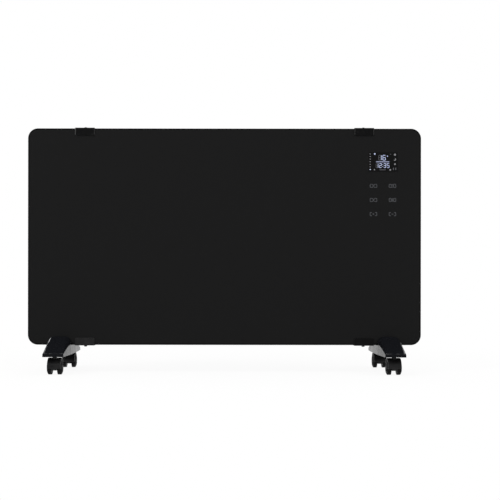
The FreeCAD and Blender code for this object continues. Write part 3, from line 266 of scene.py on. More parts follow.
rib_tree, (rib_copy, rib_number, ring_size, bead_size, ring_place, rib_material) = new_tree(
    "wheel_face", Rib="Object", Rib_Count="Int", Ring_Radius="Float", Ring_Bead="Float",
    Ring_Place="Float", Finish="Material")
spokes = rib_number.node("GeometryNodeMeshLine", {}, {"Count": rib_number, "Offset": (0, 0, 0)})
spoke_index = rib_number.node("GeometryNodeInputIndex", {}, {})
spoke_turn = spoke_index.node("ShaderNodeCombineXYZ", {},
                              {"X": spoke_index * math.tau / rib_number})
rib_shape = rib_copy.node("GeometryNodeObjectInfo", {}, {"Object": rib_copy}, "Geometry")
ribs = spokes.node("GeometryNodeInstanceOnPoints", {},
                   {"Points": spokes, "Instance": rib_shape, "Rotation": spoke_turn})
ring_path = ring_size.node("GeometryNodeCurvePrimitiveCircle", {},
                           {"Resolution": ring_facets, "Radius": ring_size})
bead = bead_size.node("GeometryNodeCurvePrimitiveCircle", {},
                      {"Resolution": ring_bead_facets, "Radius": bead_size})
ring = ring_path.node("GeometryNodeCurveToMesh", {}, {"Curve": ring_path, "Profile Curve": bead})
ring_offset = ring_place.node("ShaderNodeCombineXYZ", {}, {"X": ring_place})
ring = ring.node("GeometryNodeTransform", {}, {"Geometry": ring, "Translation": ring_offset,
                                               "Rotation": (0, math.pi / 2, 0)})
wheel_face = ribs.node("GeometryNodeJoinGeometry", {}, {0: [ribs, ring]})
close_tree(wheel_face, rib_material)

ring_level = -dome_fall(ring_radius) - ring_bead / 6
for corner in corners:
    for pair in ("outer", "inner"):
        wheel = f"castor_wheel_{corner}_{pair}"
        body = f"wheel_{corner}_{pair}"
        hub_x, hub_y, hub_z = joints[f"roll_{corner}_{pair}"]["pos_m"]
        finish = wheel_finish(f"scuffed_nylon_{corner}_{pair}", hub_y, hub_z, wheel_radius)
        dress(finish, wheel)
        low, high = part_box(wheel)
        outward = 1 if high.x - hub_x > hub_x - low.x else -1
        mesh = grow(f"wheel_face_{corner}_{pair}", rib_tree, rib, rib_count, ring_radius, ring_bead,
                    ring_level, finish)
        turn = Matrix.Rotation(0 if outward > 0 else math.pi, 4, "Z")
        face_x = high.x if outward > 0 else low.x
        mesh.transform(Matrix.Translation((face_x, hub_y, hub_z)) @ turn)
        add_piece(f"wheel_face_{corner}_{pair}", mesh, body)


# Castor hoods: satin black ABS shells over the wheels, each with a neck that turns under the leg.
# The mould leaves a fine spark-eroded grain, and faint flow marks that vary shade and gloss.
def moulded_finish(name, colour, roughness, grain_size, grain_depth, gloss=0.5):
    """Moulded plastic or rubber: one colour with faint flow marks and a fine even grain."""
    flow_size, flow_shade = 30 * MM, 0.2
    finish, place = new_finish(name, IOR=1.5, Specular_IOR_Level=gloss)
    flow = place.grain(flow_size, detail=2.0)
    grain = place.grain(grain_size)
    darker = tuple(channel * (1 - flow_shade) for channel in colour)
    lighter = tuple(channel * (1 + flow_shade) for channel in colour)
    feed(place,
         Base_Color=flow.rise(0.3, 0.7).tint(darker, lighter),
         Roughness=(grain - 0.5) * 0.2 + (flow - 0.5) * 0.15 + roughness,
         Normal=grain.relief(depth=grain_depth, edge_radius=0.4 * MM))
    return finish


hood_finish = moulded_finish("satin_hood_plastic", (0.0135, 0.0135, 0.014), roughness=0.38,
                             grain_size=0.6 * MM, grain_depth=0.04 * MM, gloss=0.18)
dress(hood_finish, *[f"castor_hood_{corner}" for corner in corners])


# Castor stems and axles: zinc-plated steel rod, with faint streaks from drawing.
# The same plate covers the weld nuts and the small steel parts inside the case.
def plated_finish(name, colour, roughness, streak_size):
    """Plated or rolled metal with fine streaks along X."""
    streak_squeeze, cloud_size, cloud_shade = 0.04, 12 * MM, 0.82
    finish, place = new_finish(name, Metallic=1.0)
    squeezed = place.node("ShaderNodeMapping", {},
                          {"Vector": place, "Scale": (streak_squeeze, 1.0, 1.0)})
    streaks = squeezed.grain(streak_size)
    clouds = place.grain(cloud_size, detail=2.0)
    darker = tuple(channel * cloud_shade for channel in colour)
    feed(place,
         Base_Color=clouds.rise(0.3, 0.7).tint(darker, colour),
         Roughness=streaks * 0.2 + roughness,
         Normal=streaks.relief(depth=0.02 * MM, edge_radius=0.2 * MM))
    return finish


zinc_finish = plated_finish("zinc_plate", (0.60, 0.60, 0.59), roughness=0.22, streak_size=0.4 * MM)
dress(zinc_finish, *[f"castor_{rod}_{corner}" for rod in ("stem", "axle") for corner in corners],
      "weld_nuts", "element_bracket_left", "element_bracket_right", "thermal_cutout")


# Legs: gloss black plastic beams, moulded hollow from below, that carry the case in a saddle.
# Their polished faces have a slight waviness from the mould, and a few dull finger smears.
# Pale painted highlights run along the outer edges and the tips, brightest at the left leg's front
# crest.
leg_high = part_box("leg_right")[1]
crest_end, tip_narrowing = 36 * MM, 2.75 * MM
tip_level, tip_edge_height = 44.5 * MM, 1 * MM
tip_edge_start, tip_edge_full = leg_high.y - 1.4 * MM, leg_high.y - 0.7 * MM
side_blend, end_blend = 100 * MM, 10 * MM
# Sizes of the painted highlight: a pale band along each outer edge, wider and brighter at the left
# leg's front crest.
highlight_foot, highlight_crest = 60 * MM, 67 * MM
highlight_inset, highlight_half = 2.3 * MM, 1.8 * MM
crest_highlight_shift, crest_highlight_wider = 1.6 * MM, 1.2 * MM
edge_highlight, edge_patch_highlight = 0.08, 0.2
front_highlight, front_patch_highlight = 0.06, 0.16
tip_highlight_strength, least_breakup = 0.09, 0.45
gloss_black, highlight_pale = (0.006, 0.0064, 0.008), (0.60, 0.60, 0.61)

leg_finish, leg_place = new_finish("gloss_leg_plastic", IOR=1.46, Specular_IOR_Level=0.12)
leg_wave = leg_place.grain(40 * MM, detail=1.0)
leg_smear = leg_place.grain(18 * MM, detail=4.0).rise(0.45, 0.75)
leg_peel = leg_place.grain(1.5 * MM, detail=1.0)
leg_x, leg_y, leg_z = [leg_place.along(axis) for axis in "XYZ"]
on_left = 1 - leg_x.rise(-side_blend, side_blend)
on_front = 1 - leg_y.rise(-end_blend, end_blend)
on_crest = leg_z.rise(highlight_foot, highlight_crest)
on_tip = abs(leg_y).rise(tip_edge_start, tip_edge_full)
crest_highlight = on_crest * on_left * on_front
highlight_reach = crest_highlight * crest_highlight_wider + highlight_half
narrowing = abs(leg_y).rise(crest_end, leg_high.y) * tip_narrowing
highlight_place = leg_high.x - highlight_inset - crest_highlight * crest_highlight_shift - narrowing
highlight_line = (1 - abs(abs(leg_x) - highlight_place).rise(highlight_reach * 0.3, highlight_reach)) * (1 - on_tip)
highlight_patches = leg_place.grain(7 * MM, detail=2.0).rise(0.3, 0.65)
more_in_front = (highlight_patches * front_patch_highlight + front_highlight) * on_front
highlight_strength = highlight_patches * edge_patch_highlight + edge_highlight + more_in_front
highlight_broken = highlight_strength * (1 - on_crest)
highlight_breakup = leg_place.grain(0.9 * MM, detail=2.0).rise(0.35, 0.6) * (1 - least_breakup) + least_breakup
tip_highlight_band = on_tip * leg_z.rise(tip_level - tip_edge_height, tip_level)
tip_highlight_spots = leg_place.grain(9 * MM, detail=1.0).rise(0.5, 0.62) * tip_highlight_strength
# The pale colour mixed into the gloss black here is a painted highlight on the outer edges and spots on
# the tips.
painted_highlight = (highlight_line * highlight_breakup * highlight_broken.larger(crest_highlight)).larger(tip_highlight_band * tip_highlight_spots)
feed(leg_place,
     Base_Color=painted_highlight.tint(gloss_black, highlight_pale),
     Roughness=leg_smear * 0.08 + painted_highlight * 0.2 + 0.22,
     Normal=(leg_wave * 8.0 + leg_peel * 0.3).relief(depth=0.02 * MM, edge_radius=1.6 * MM))
dress(leg_finish, "leg_left", "leg_right")


# Sheet-steel case: six thin panels with folded flanges, powder-coated black with a fine texture.
# The back carries pressed louvres over its air slots, and long beads that stiffen the sheet.
powder_black, powder_pale = (0.010, 0.010, 0.011), (0.014, 0.014, 0.015)
powder_finish, powder_place = new_finish("black_powder_coat", IOR=1.5)
powder_grain = powder_place.grain(0.9 * MM, detail=2.0)
powder_cloud = powder_place.grain(60 * MM, detail=2.0)
feed(powder_place,
     Base_Color=powder_cloud.rise(0.3, 0.7).tint(powder_black, powder_pale),
     Roughness=powder_grain * 0.2 + 0.42,
     Normal=powder_grain.relief(depth=0.10 * MM, edge_radius=0.5 * MM))
dress(powder_finish, "front_plate", "case_back", "case_side_left", "case_side_right",
      "case_bottom", "top_cover")


def swell_at(share, end_share, squareness):
    """How full a pressed form is at a share of its half length: 1 in the middle, less at the ends."""
    return end_share + (1 - end_share) * (1 - abs(share) ** squareness) ** 0.5


case_low, case_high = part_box("case_back")
back_face = case_high.y
vent_columns, vent_rows = 12, 5
vent_pitch_across, vent_pitch_up = 48 * MM, 12 * MM
vent_edge_inset = 36 * MM
vent_field_height = vent_pitch_up * (vent_rows - 1)
louvre_half, louvre_steps = 19.5 * MM, 10
louvre_end_share, louvre_squareness = 0.12, 4
louvre_profile = [(-0.3, 4.6), (0.9, 4.2), (1.9, 2.9), (2.4, 1.0),
                  (1.8, 0.9), (1.4, 2.3), (0.6, 3.3), (-0.3, 3.6)]
louvre_sections = []
for step in range(louvre_steps + 1):
    share = step / louvre_steps * 2 - 1
    swell = swell_at(share, louvre_end_share, louvre_squareness)
    louvre_sections.append([(share * louvre_half, outward * swell * MM, height * MM)
                            for outward, height in louvre_profile])
louvre = pattern_object("louvre", lofted(louvre_sections))

louvre_tree, louvre_inputs = new_tree(
    "louvre_field", Louvre="Object", Columns="Int", Rows="Int", Pitch_Across="Float",
    Pitch_Up="Float", Finish="Material")
louvre_copy, column_number, row_number, pitch_across, pitch_up, louvre_material = louvre_inputs
field_size = {"Size X": pitch_across * (column_number - 1), "Size Y": pitch_up * (row_number - 1)}
field = column_number.node("GeometryNodeMeshGrid", {},
                           {**field_size, "Vertices X": column_number, "Vertices Y": row_number})
field = field.node("GeometryNodeTransform", {}, {"Geometry": field, "Rotation": (math.pi / 2, 0, 0)})
louvre_shape = louvre_copy.node("GeometryNodeObjectInfo", {}, {"Object": louvre_copy}, "Geometry")
louvres = field.node("GeometryNodeInstanceOnPoints", {}, {"Points": field, "Instance": louvre_shape})
close_tree(louvres, louvre_material)
low_field = case_low.z + vent_edge_inset + vent_field_height / 2
high_field = case_high.z - vent_edge_inset - vent_field_height / 2
for level, height in {"low": low_field, "high": high_field}.items():
    mesh = grow(f"louvres_{level}", louvre_tree, louvre, vent_columns, vent_rows,
                vent_pitch_across, vent_pitch_up, powder_finish)
    mesh.transform(Matrix.Translation((0, back_face, height)))
    add_piece(f"louvres_{level}", mesh, "heater")

bead_half, bead_width, bead_rise, bead_sink = 250 * MM, 9 * MM, 1.6 * MM, 0.05 * MM
bead_end_share, bead_squareness = 0.06, 12
bead_levels = (190 * MM, 250 * MM, 310 * MM)
bead_steps, bead_facets = 24, 8
bead_arc = [math.pi * facet / bead_facets for facet in range(bead_facets + 1)]
bead_sections = []
for step in range(bead_steps + 1):
    share = math.sin((step / bead_steps - 0.5) * math.pi)
    swell = swell_at(share, bead_end_share, bead_squareness)
    bead_sections.append([(share * bead_half, bead_rise * swell * math.sin(turn) - bead_sink,
                           bead_width / 2 * swell * math.cos(turn)) for turn in bead_arc])
stiffener = pattern_object("stiffening_bead", lofted(bead_sections))

set_tree, (set_points, set_copy, set_turn, set_material) = new_tree(
    "set_of_like_pieces", Points="Geometry", Piece="Object", Turn="Vector", Finish="Material")
set_shape = set_copy.node("GeometryNodeObjectInfo", {}, {"Object": set_copy}, "Geometry")
set_copies = set_points.node("GeometryNodeInstanceOnPoints", {},
                             {"Points": set_points, "Instance": set_shape, "Rotation": set_turn})
close_tree(set_copies, set_material)


def point_mesh(name, points):
    """Loose points, on each of which a tree sets one copy."""
    mesh = bpy.data.meshes.new(name)
    mesh.from_pydata(points, [], [])
    return mesh


bead_points = [(0, back_face, level) for level in bead_levels]
mesh = grow("stiffening_beads", set_tree, stiffener, (0, 0, 0), powder_finish,
            start=point_mesh("bead_points", bead_points))
for face in mesh.polygons:
    face.use_smooth = True
add_piece("stiffening_beads", mesh, "heater")


# Panel screws: black-zinc pan heads with a cross recess, driven into the case's side flanges.
# The same screw, with a longer shank, holds each glass clip to the top and bottom of the case.
screw_finish = plated_finish("black_zinc", (0.035, 0.035, 0.037), roughness=0.30, streak_size=0.3 * MM)
dress(screw_finish, "leg_screws")
head_radius, head_height, shank_radius = 3.5 * MM, 3 * MM, 2 * MM
crown_flat, crown_skirt = 0.55, 0.35
recess_reach, recess_width, recess_depth = 2.1 * MM, 0.9 * MM, 1.6 * MM
head_facets, crown_steps = 32, 6
clip_screw_turn = 0.4


def turned(profile, facets):
    """A closed turned shape about Z, from pairs of radius and height."""
    sections = []
    turns = [math.tau * facet / facets for facet in range(facets)]
    for radius, height in profile:
        sections.append([(radius * math.cos(turn), radius * math.sin(turn), height)
                         for turn in turns])
    return lofted(sections)


def cross_recess_screw(name, shank_length):
    """A pan head that sits on the level Z = 0, with its shank below and a cross cut into its crown."""
    crown = []
    for step in range(crown_steps + 1):
        turn = math.pi / 2 * step / crown_steps
        crown.append((head_radius * (crown_flat + (1 - crown_flat) * math.cos(turn)),
                      head_height * (crown_skirt + (1 - crown_skirt) * math.sin(turn))))
    outline = [(shank_radius, -shank_length), (shank_radius, 0), (head_radius, 0), *crown]
    screw = pattern_object(name, turned(outline, head_facets))
    bpy.context.scene.collection.objects.link(screw)
    for turn in (0, math.pi / 2):
        slot = bmesh.new()
        bmesh.ops.create_cube(slot, size=1)
        bmesh.ops.scale(slot, verts=slot.verts,
                        vec=(recess_reach * 2, recess_width, recess_depth * 2))
        bmesh.ops.rotate(slot, verts=slot.verts, matrix=Matrix.Rotation(turn, 3, "Z"))
        bmesh.ops.translate(slot, verts=slot.verts, vec=(0, 0, head_height))
        cutter = pattern_object(f"{name}_slot", slot)
        bpy.context.scene.collection.objects.link(cutter)
        cut = screw.modifiers.new("slot", "BOOLEAN")
        cut.object = cutter
        cut.operation = "DIFFERENCE"
        cut.solver = "EXACT"
        cut_mesh = bpy.data.meshes.new_from_object(
            screw.evaluated_get(bpy.context.evaluated_depsgraph_get()))
        screw.modifiers.clear()
        screw.data = cut_mesh
        bpy.data.objects.remove(cutter)
    bpy.context.scene.collection.objects.unlink(screw)
    return screw


def joined_mesh(name, finish, *meshes):
    """One mesh out of several that share a finish."""
    whole = bmesh.new()
    for part in meshes:
        whole.from_mesh(part)
    for face in whole.faces:
        face.material_index = 0
    mesh = bpy.data.meshes.new(name)
    whole.to_mesh(mesh)
    whole.free()
    mesh.materials.append(finish)
    return mesh


panel_screw = cross_recess_screw("panel_screw", shank_length=7 * MM)
screw_low, screw_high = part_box("case_screws")
screw_columns = (screw_low.x + head_radius, screw_high.x - head_radius)
screw_levels = (screw_low.z + head_radius, (screw_low.z + screw_high.z) / 2,
                screw_high.z - head_radius)
screw_points = [(across, screw_high.y - head_height, level)
                for across in screw_columns for level in screw_levels]
mesh = grow("case_screw_heads", set_tree, panel_screw, (-math.pi / 2, 0, 0), screw_finish,
            start=point_mesh("case_screw_points", screw_points))
add_piece("case_screw_heads", mesh, "heater", ["case_screws"])

clip_screw = cross_recess_screw("clip_screw", shank_length=10 * MM)
clip_low, clip_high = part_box("clip_screws")
clip_columns = (clip_low.x + head_radius, clip_high.x - head_radius)
clip_depth = (clip_low.y + clip_high.y) / 2
upper_seat, lower_seat = clip_high.z - head_height, clip_low.z + head_height
upper_points = [(across, clip_depth, upper_seat) for across in clip_columns]
lower_points = [(across, clip_depth, lower_seat) for across in clip_columns]
upper = grow("upper_clip_screws", set_tree, clip_screw, (0, 0, clip_screw_turn), screw_finish,
             start=point_mesh("upper_clip_points", upper_points))
lower = grow("lower_clip_screws", set_tree, clip_screw, (math.pi, 0, clip_screw_turn), screw_finish,
             start=point_mesh("lower_clip_points", lower_points))
mesh = joined_mesh("clip_screw_heads", screw_finish, upper, lower)
add_piece("clip_screw_heads", mesh, "heater", ["clip_screws"])


# Heating elements: extruded aluminium fins on sheathed rods, held in unglazed ceramic bushes.
# A thin mill-finish sheet behind them throws the heat forward and away from the back panel.
fin_finish = plated_finish("mill_aluminium", (0.74, 0.74, 0.75), roughness=0.28, streak_size=0.5 * MM)
rod_finish = plated_finish("heated_steel_sheath", (0.30, 0.27, 0.24), roughness=0.35,
                           streak_size=0.4 * MM)
ceramic_finish = moulded_finish("unglazed_ceramic", (0.80, 0.78, 0.72), roughness=0.70,
                                grain_size=0.8 * MM, grain_depth=0.03 * MM)
dress(fin_finish, "heating_fins", "heat_reflector")
dress(rod_finish, "heating_rods")
dress(ceramic_finish, "element_insulators")


# Control parts inside the case: boards with tracks under green solder mask, blue relays,
# white terminal and spacer mouldings, a black tip-over switch and sensor, and sheathed leads.
# Grey silicone pads cushion the glass and its clips, and carry the touch sensors.
board_finish, board_place = new_finish("green_circuit_board", Roughness=0.4)
bare_mask, mask_on_track = (0.016, 0.11, 0.045), (0.05, 0.22, 0.09)
track_width, track_length, track_pitch = 0.35 * MM, 7 * MM, 2.4 * MM
upright = board_place.node("ShaderNodeMapping", {},
                           {"Vector": board_place, "Rotation": (math.pi / 2, 0, 0)})
tracks = upright.node("ShaderNodeTexBrick", {"offset": 0.3},
                      {"Vector": upright, "Scale": 1.0, "Mortar Size": track_width,
                       "Brick Width": track_length, "Row Height": track_pitch}, "Fac")
feed(board_place, Base_Color=tracks.tint(bare_mask, mask_on_track))
dress(board_finish, "display_board", "power_board")
for name, colour, roughness, grain_size, grain_depth, pieces in (
    ("relay_plastic", (0.03, 0.09, 0.30), 0.45, 0.5 * MM, 0.02 * MM, ["relays"]),
    ("white_nylon", (0.70, 0.70, 0.66), 0.50, 0.6 * MM, 0.02 * MM,
     ["terminal_block", "board_standoffs"]),
    ("black_polyamide", (0.018, 0.018, 0.018), 0.48, 0.5 * MM, 0.04 * MM,
     ["tilt_switch", "room_sensor", "switch_body", "cord_gland"]),
    ("grey_silicone", (0.06, 0.06, 0.06), 0.75, 0.7 * MM, 0.03 * MM,
     ["glass_pads", "clip_pads", "touch_pads"]),
    ("display_housing", (0.03, 0.03, 0.03), 0.35, 0.5 * MM, 0.02 * MM, ["display_module"]),
):
    dress(moulded_finish(name, colour, roughness, grain_size, grain_depth), *pieces)

red_lead, white_lead = (0.42, 0.05, 0.04), (0.62, 0.60, 0.55)
lead_finish, lead_place = new_finish("silicone_leads", Roughness=0.55)
lead_tint = lead_place.grain(45 * MM, detail=0.0).rise(0.48, 0.52)
feed(lead_place,
     Base_Color=lead_tint.tint(red_lead, white_lead),
     Normal=lead_place.grain(1.2 * MM).relief(depth=0.05 * MM, edge_radius=0.1 * MM))
dress(lead_finish, "internal_wires")


# Glass front: tempered black glass, painted on its back, with ground edges.
# A band just inside the edge is painted darker as shade on the ground edges, and a smoked window
# in the paint lets the display shine through. Wiping leaves faint dull smears.
glass_low, glass_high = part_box("glass_panel")
glass_middle_z = (glass_low.z + glass_high.z) / 2
glass_corner = 21 * MM
edge_shade_inset, edge_shade_fade = 2.2 * MM, 1.2 * MM
window_low, window_high = (304 * MM, 423 * MM), (366 * MM, 465 * MM)
window_fade, window_smoke = 1.5 * MM, 0.55
painted_black, window_and_edge_shade_black = (0.0076, 0.0076, 0.0077), (0.0006, 0.0006, 0.0008)
wipe_squeeze = 0.35

glass_finish, glass_place = new_finish("black_painted_glass", IOR=1.5, Specular_IOR_Level=0.20)
flat_half_x = glass_high.x - glass_corner
flat_half_z = (glass_high.z - glass_low.z) / 2 - glass_corner
beyond_x = (abs(glass_place.along("X")) - flat_half_x).larger(0.0)
beyond_z = (abs(glass_place.along("Z") - glass_middle_z) - flat_half_z).larger(0.0)
edge_distance = (beyond_x * beyond_x + beyond_z * beyond_z) ** 0.5
# A darker band just inside the edge is painted shade standing for the ground edge.
edge_shade = edge_distance.rise(glass_corner - edge_shade_inset - edge_shade_fade, glass_corner - edge_shade_inset)
window_x = abs(glass_place.along("X") - (window_low[0] + window_high[0]) / 2)
window_z = abs(glass_place.along("Z") - (window_low[1] + window_high[1]) / 2)
window_half_x = (window_high[0] - window_low[0]) / 2
window_half_z = (window_high[1] - window_low[1]) / 2
window_across = 1 - window_x.rise(window_half_x - window_fade, window_half_x + window_fade)
window_upward = 1 - window_z.rise(window_half_z - window_fade, window_half_z + window_fade)
window = window_across * window_upward
wipe_place = glass_place.node("ShaderNodeMapping", {},
                              {"Vector": glass_place, "Scale": (1.0, 1.0, wipe_squeeze)})
smear = wipe_place.grain(70 * MM, detail=4.0).rise(0.5, 0.8)
feed(glass_place,
     Base_Color=edge_shade.larger(window * window_smoke).tint(painted_black, window_and_edge_shade_black),
     Roughness=smear * 0.05 + 0.05)
dress(glass_finish, "glass_panel")


# Display: lit segments and symbols that shine through the glass, in a bluish white.
# Segments that are off, and the standby marks at the sides, are given a faint painted glow of dim grey.
face_y = glass_low.y
mark_proud = 0.12 * MM
SEGMENT_SHARES = {"a": ((0, 1), (1, 1)), "b": ((1, 1), (1, 0.5)), "c": ((1, 0.5), (1, 0)),
                  "d": ((0, 0), (1, 0)), "e": ((0, 0.5), (0, 0)), "f": ((0, 1), (0, 0.5)),
                  "g": ((0, 0.5), (1, 0.5))}
DIGIT_SEGMENTS = {"1": "bc", "2": "abged", "3": "abgcd", "5": "afgcd", "6": "afgedc"}


def plate(marks, outline):
    """A thin plate on the face of the glass, with an outline of places across and up."""
    front = [marks.verts.new((x, face_y - mark_proud, z)) for x, z in outline]
    back = [marks.verts.new((x, face_y, z)) for x, z in outline]
    marks.faces.new(front)
    marks.faces.new(reversed(back))
    for index, corner in enumerate(front):
        marks.faces.new((front[index - 1], back[index - 1], back[index], corner))


def stroke(marks, start, end, width, pointed=True):
    """A straight mark whose ends come to a point, as the segments of a digit do, or are square."""
    start, end = Vector(start), Vector(end)
    ahead = (end - start).normalized() * (width / 2)
    beside = Vector((-ahead.y, ahead.x))
    if pointed:
        plate(marks, [start, start + ahead + beside, end - ahead + beside, end,
                      end - ahead - beside, start + ahead - beside])
    else:
        plate(marks, [start - ahead + beside, end + ahead + beside,
                      end + ahead - beside, start - ahead - beside])


def disc(marks, centre, radius, facets=20):
    """A round mark."""
    turns = [math.tau * facet / facets for facet in range(facets)]
    plate(marks, [(centre[0] + radius * math.cos(turn), centre[1] + radius * math.sin(turn))
                  for turn in turns])


def crescent(marks, centre, radius, facets=14):
    """A moon that is open to the upper left: a disc, less a smaller disc set up and to the left."""
    inner_radius, inner_offset = 0.85 * radius, 0.70 * radius
    facing = math.radians(-40)
    outer_reach = math.pi - math.acos((inner_offset ** 2 + radius ** 2 - inner_radius ** 2)
                                      / (2 * inner_offset * radius))
    inner_reach = math.acos((inner_offset ** 2 + inner_radius ** 2 - radius ** 2)
                            / (2 * inner_offset * inner_radius))
    shares = [facet / facets * 2 - 1 for facet in range(facets + 1)]
    middle = Vector(centre)
    inner_middle = middle - Vector((math.cos(facing), math.sin(facing))) * inner_offset
    turns = [facing + outer_reach * share for share in shares]
    points = [middle + Vector((math.cos(turn), math.sin(turn))) * radius for turn in turns]
    turns = [facing - inner_reach * share for share in shares[1:-1]]
    points += [inner_middle + Vector((math.cos(turn), math.sin(turn))) * inner_radius for turn in turns]
    plate(marks, points)


def digit(lit, unlit, figure, low, width, height, stroke_width):
    """The seven segments of a figure, shared out between lit and unlit marks."""
    for segment, (start, end) in SEGMENT_SHARES.items():
        ends = [(low[0] + width * across, low[1] + height * up) for across, up in (start, end)]
        stroke(lit if segment in DIGIT_SEGMENTS[figure] else unlit, *ends, stroke_width)


def light_finish(name, dim, bright, strength):
    """Light through the glass, a little uneven because small lamps stand behind it; marks that are off
    get the same glow as painted light.
    """
    finish, place = new_finish(name, Roughness=0.3, Emission_Strength=strength,
                               Base_Color=(0.01, 0.01, 0.01, 1))
    feed(place, Emission_Color=place.grain(2.5 * MM, detail=1.0).rise(0.3, 0.7).tint(dim, bright))
    return finish


def add_marks(name, marks, finish, body):
    """Make a piece out of marks that share a finish."""
    bmesh.ops.recalc_face_normals(marks, faces=marks.faces)
    mesh = bpy.data.meshes.new(name)
    marks.to_mesh(mesh)
    marks.free()
    mesh.materials.append(finish)
    add_piece(name, mesh, body)


lit_marks, bar_marks, grey_glow_marks, dim_glow_marks = [bmesh.new() for brightness in range(4)]
for figures, lefts, foot, width, height, line in (
    ("16", (325.4, 334.2), 448.2, 5.6, 10.2, 1.0),
    ("1235", (319.9, 327.0, 336.2, 343.3), 432.3, 4.4, 8.6, 0.88),
):
    for figure, left in zip(figures, lefts):
        digit(lit_marks, dim_glow_marks, figure, (left * MM, foot * MM), width * MM, height * MM,
              stroke_width=line * MM)
for marks, across, upward, radius in (
    (lit_marks, 333.9, 434.6, 0.6), (lit_marks, 333.9, 438.8, 0.6), (lit_marks, 344.0, 456.6, 1.1),
    (grey_glow_marks, 359.8, 459.7, 2.3), (grey_glow_marks, 359.8, 439.6, 1.9),
    (grey_glow_marks, 316.6, 428.0, 1.4), (grey_glow_marks, 349.9, 427.6, 1.9),
):
    disc(marks, (across * MM, upward * MM), radius * MM)
for marks, start, end, line in (
    (bar_marks, (319.4, 444.6), (348.4, 444.6), 2.1),
    (dim_glow_marks, (356.7, 427.0), (356.7, 432.6), 2.0), (dim_glow_marks, (361.5, 427.0), (361.5, 432.6), 2.0),
    (dim_glow_marks, (327.0, 427.8), (340.6, 427.8), 1.5), (dim_glow_marks, (349.0, 460.6), (352.0, 460.6), 1.2),
):
    stroke(marks, (start[0] * MM, start[1] * MM), (end[0] * MM, end[1] * MM), line * MM)
crescent(grey_glow_marks, centre=(359.6 * MM, 449.6 * MM), radius=2.7 * MM)
flake_centre = Vector((317.3 * MM, 461.2 * MM))
flake_radius, flake_line, flake_arms = 1.9 * MM, 0.8 * MM, 3
for arm in range(flake_arms):
    turn = math.pi * arm / flake_arms
    reach = Vector((math.cos(turn), math.sin(turn))) * flake_radius
    stroke(lit_marks, flake_centre - reach, flake_centre + reach, flake_line)
week_marks, week_top, week_pitch = 7, 461.2 * MM, 5.47 * MM
week_x, week_half, week_line = 307.6 * MM, 1.5 * MM, 1.6 * MM
for mark in range(week_marks):
    height = week_top - week_pitch * mark
    chosen = lit_marks if mark == week_marks - 1 else grey_glow_marks
    stroke(chosen, (week_x - week_half, height), (week_x + week_half, height), week_line)

# The grey and dim marks are off, so their glow is painted light that stands for their grey look.
for name, marks, finish_name, dim, bright, strength in (
    ("display_lit", lit_marks, "lit_segments", (0.46, 0.53, 0.92), (0.72, 0.80, 1.0), 1.08),
    ("display_bar", bar_marks, "level_bar", (0.22, 0.24, 0.36), (0.31, 0.34, 0.49), 1.0),
    ("display_grey", grey_glow_marks, "standby_symbols_painted_glow", (0.16, 0.16, 0.17), (0.25, 0.25, 0.26), 1.0),
    ("display_dim", dim_glow_marks, "unlit_segments_painted_glow", (0.05, 0.05, 0.06), (0.10, 0.10, 0.11), 1.0),
):
    add_marks(name, marks, light_finish(finish_name, dim, bright, strength), "heater")


# Touch keys: six marks screened in grey on the glass, each a pair of brackets round a small sign.
# They don't move: a sensing pad behind the glass feels the finger.
thin_ink, full_ink = (0.066, 0.068, 0.076), (0.110, 0.114, 0.124)
key_finish, key_place = new_finish("screened_grey", Roughness=0.35)
feed(key_place, Base_Color=key_place.grain(1.5 * MM).tint(thin_ink, full_ink))
key_columns, key_rows = (314.6 * MM, 354.7 * MM), (393.8 * MM, 364.0 * MM, 334.2 * MM)
key_half_x, key_half_z, key_line = 7.0 * MM, 3.4 * MM, 1.0 * MM
BRACKET_SHARES = [((-0.55, 1), (-1, 1)), ((-1, 1), (-1, -1)), ((-1, -1), (-0.55, -1)),
                  ((0.55, 1), (1, 1)), ((1, 1), (1, -1)), ((1, -1), (0.55, -1))]
KEY_SIGN_SHARES = [
    [((-0.34, 1), (-0.14, 0.6)), ((-0.14, 0.6), (-0.14, -0.6)), ((-0.14, -0.6), (-0.34, -1)),
     ((0.34, 1), (0.14, 0.6)), ((0.14, 0.6), (0.14, -0.6)), ((0.14, -0.6), (0.34, -1))],
    [((-0.4, 0.9), (0, 0.9)), ((-0.4, 0), (0, 0)), ((-0.4, -0.9), (0, -0.9)),
     ((0.3, 0.9), (0.3, -0.9))],
    [((-0.3, 0.9), (0.3, -0.9)), ((-0.3, -0.9), (0.3, 0.9))],
    [((-0.36, 0.9), (-0.36, -0.9)), ((0, 0.9), (0, -0.9)), ((0.36, 0.9), (0.36, -0.9))],
    [((-0.2, 0), (0.2, 0)), ((0, 0.4), (0, -0.4))],
    [((-0.22, 0), (0.22, 0))],
]
key_marks = bmesh.new()
for place, sign in enumerate(KEY_SIGN_SHARES):
    row, column = divmod(place, len(key_columns))
    centre = Vector((key_columns[column], key_rows[row]))
    for start, end in BRACKET_SHARES + sign:
        ends = [centre + Vector((across * key_half_x, up * key_half_z))
                for across, up in (start, end)]
        stroke(key_marks, *ends, key_line, pointed=False)
add_marks("touch_key_marks", key_marks, key_finish, "heater")


# Clips: bent steel straps over the top and bottom edges of the glass, painted satin black.
# Handling has rubbed the paint a little in patches. A painted glint runs along the cut edges of the
# upper ones, and the lower left one is painted paler as a faint reflection.
clip_finish, clip_place = new_finish("satin_black_paint", IOR=1.5, Specular_IOR_Level=0.2)
clip_rub = clip_place.grain(6 * MM, detail=4.0).rise(0.5, 0.8)
clip_peel = clip_place.grain(0.8 * MM, detail=2.0)
strap_low, strap_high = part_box("clip_top_right")
strap_middle, strap_half = (strap_low.x + strap_high.x) / 2, (strap_high.x - strap_low.x) / 2
full_paint, thin_paint_and_sheen = (0.0022, 0.0022, 0.0024), (0.08, 0.08, 0.08)
inner_edge_glint = 0.4
clip_x, clip_z = clip_place.along("X"), clip_place.along("Z")
clip_across = abs(clip_x) - strap_middle
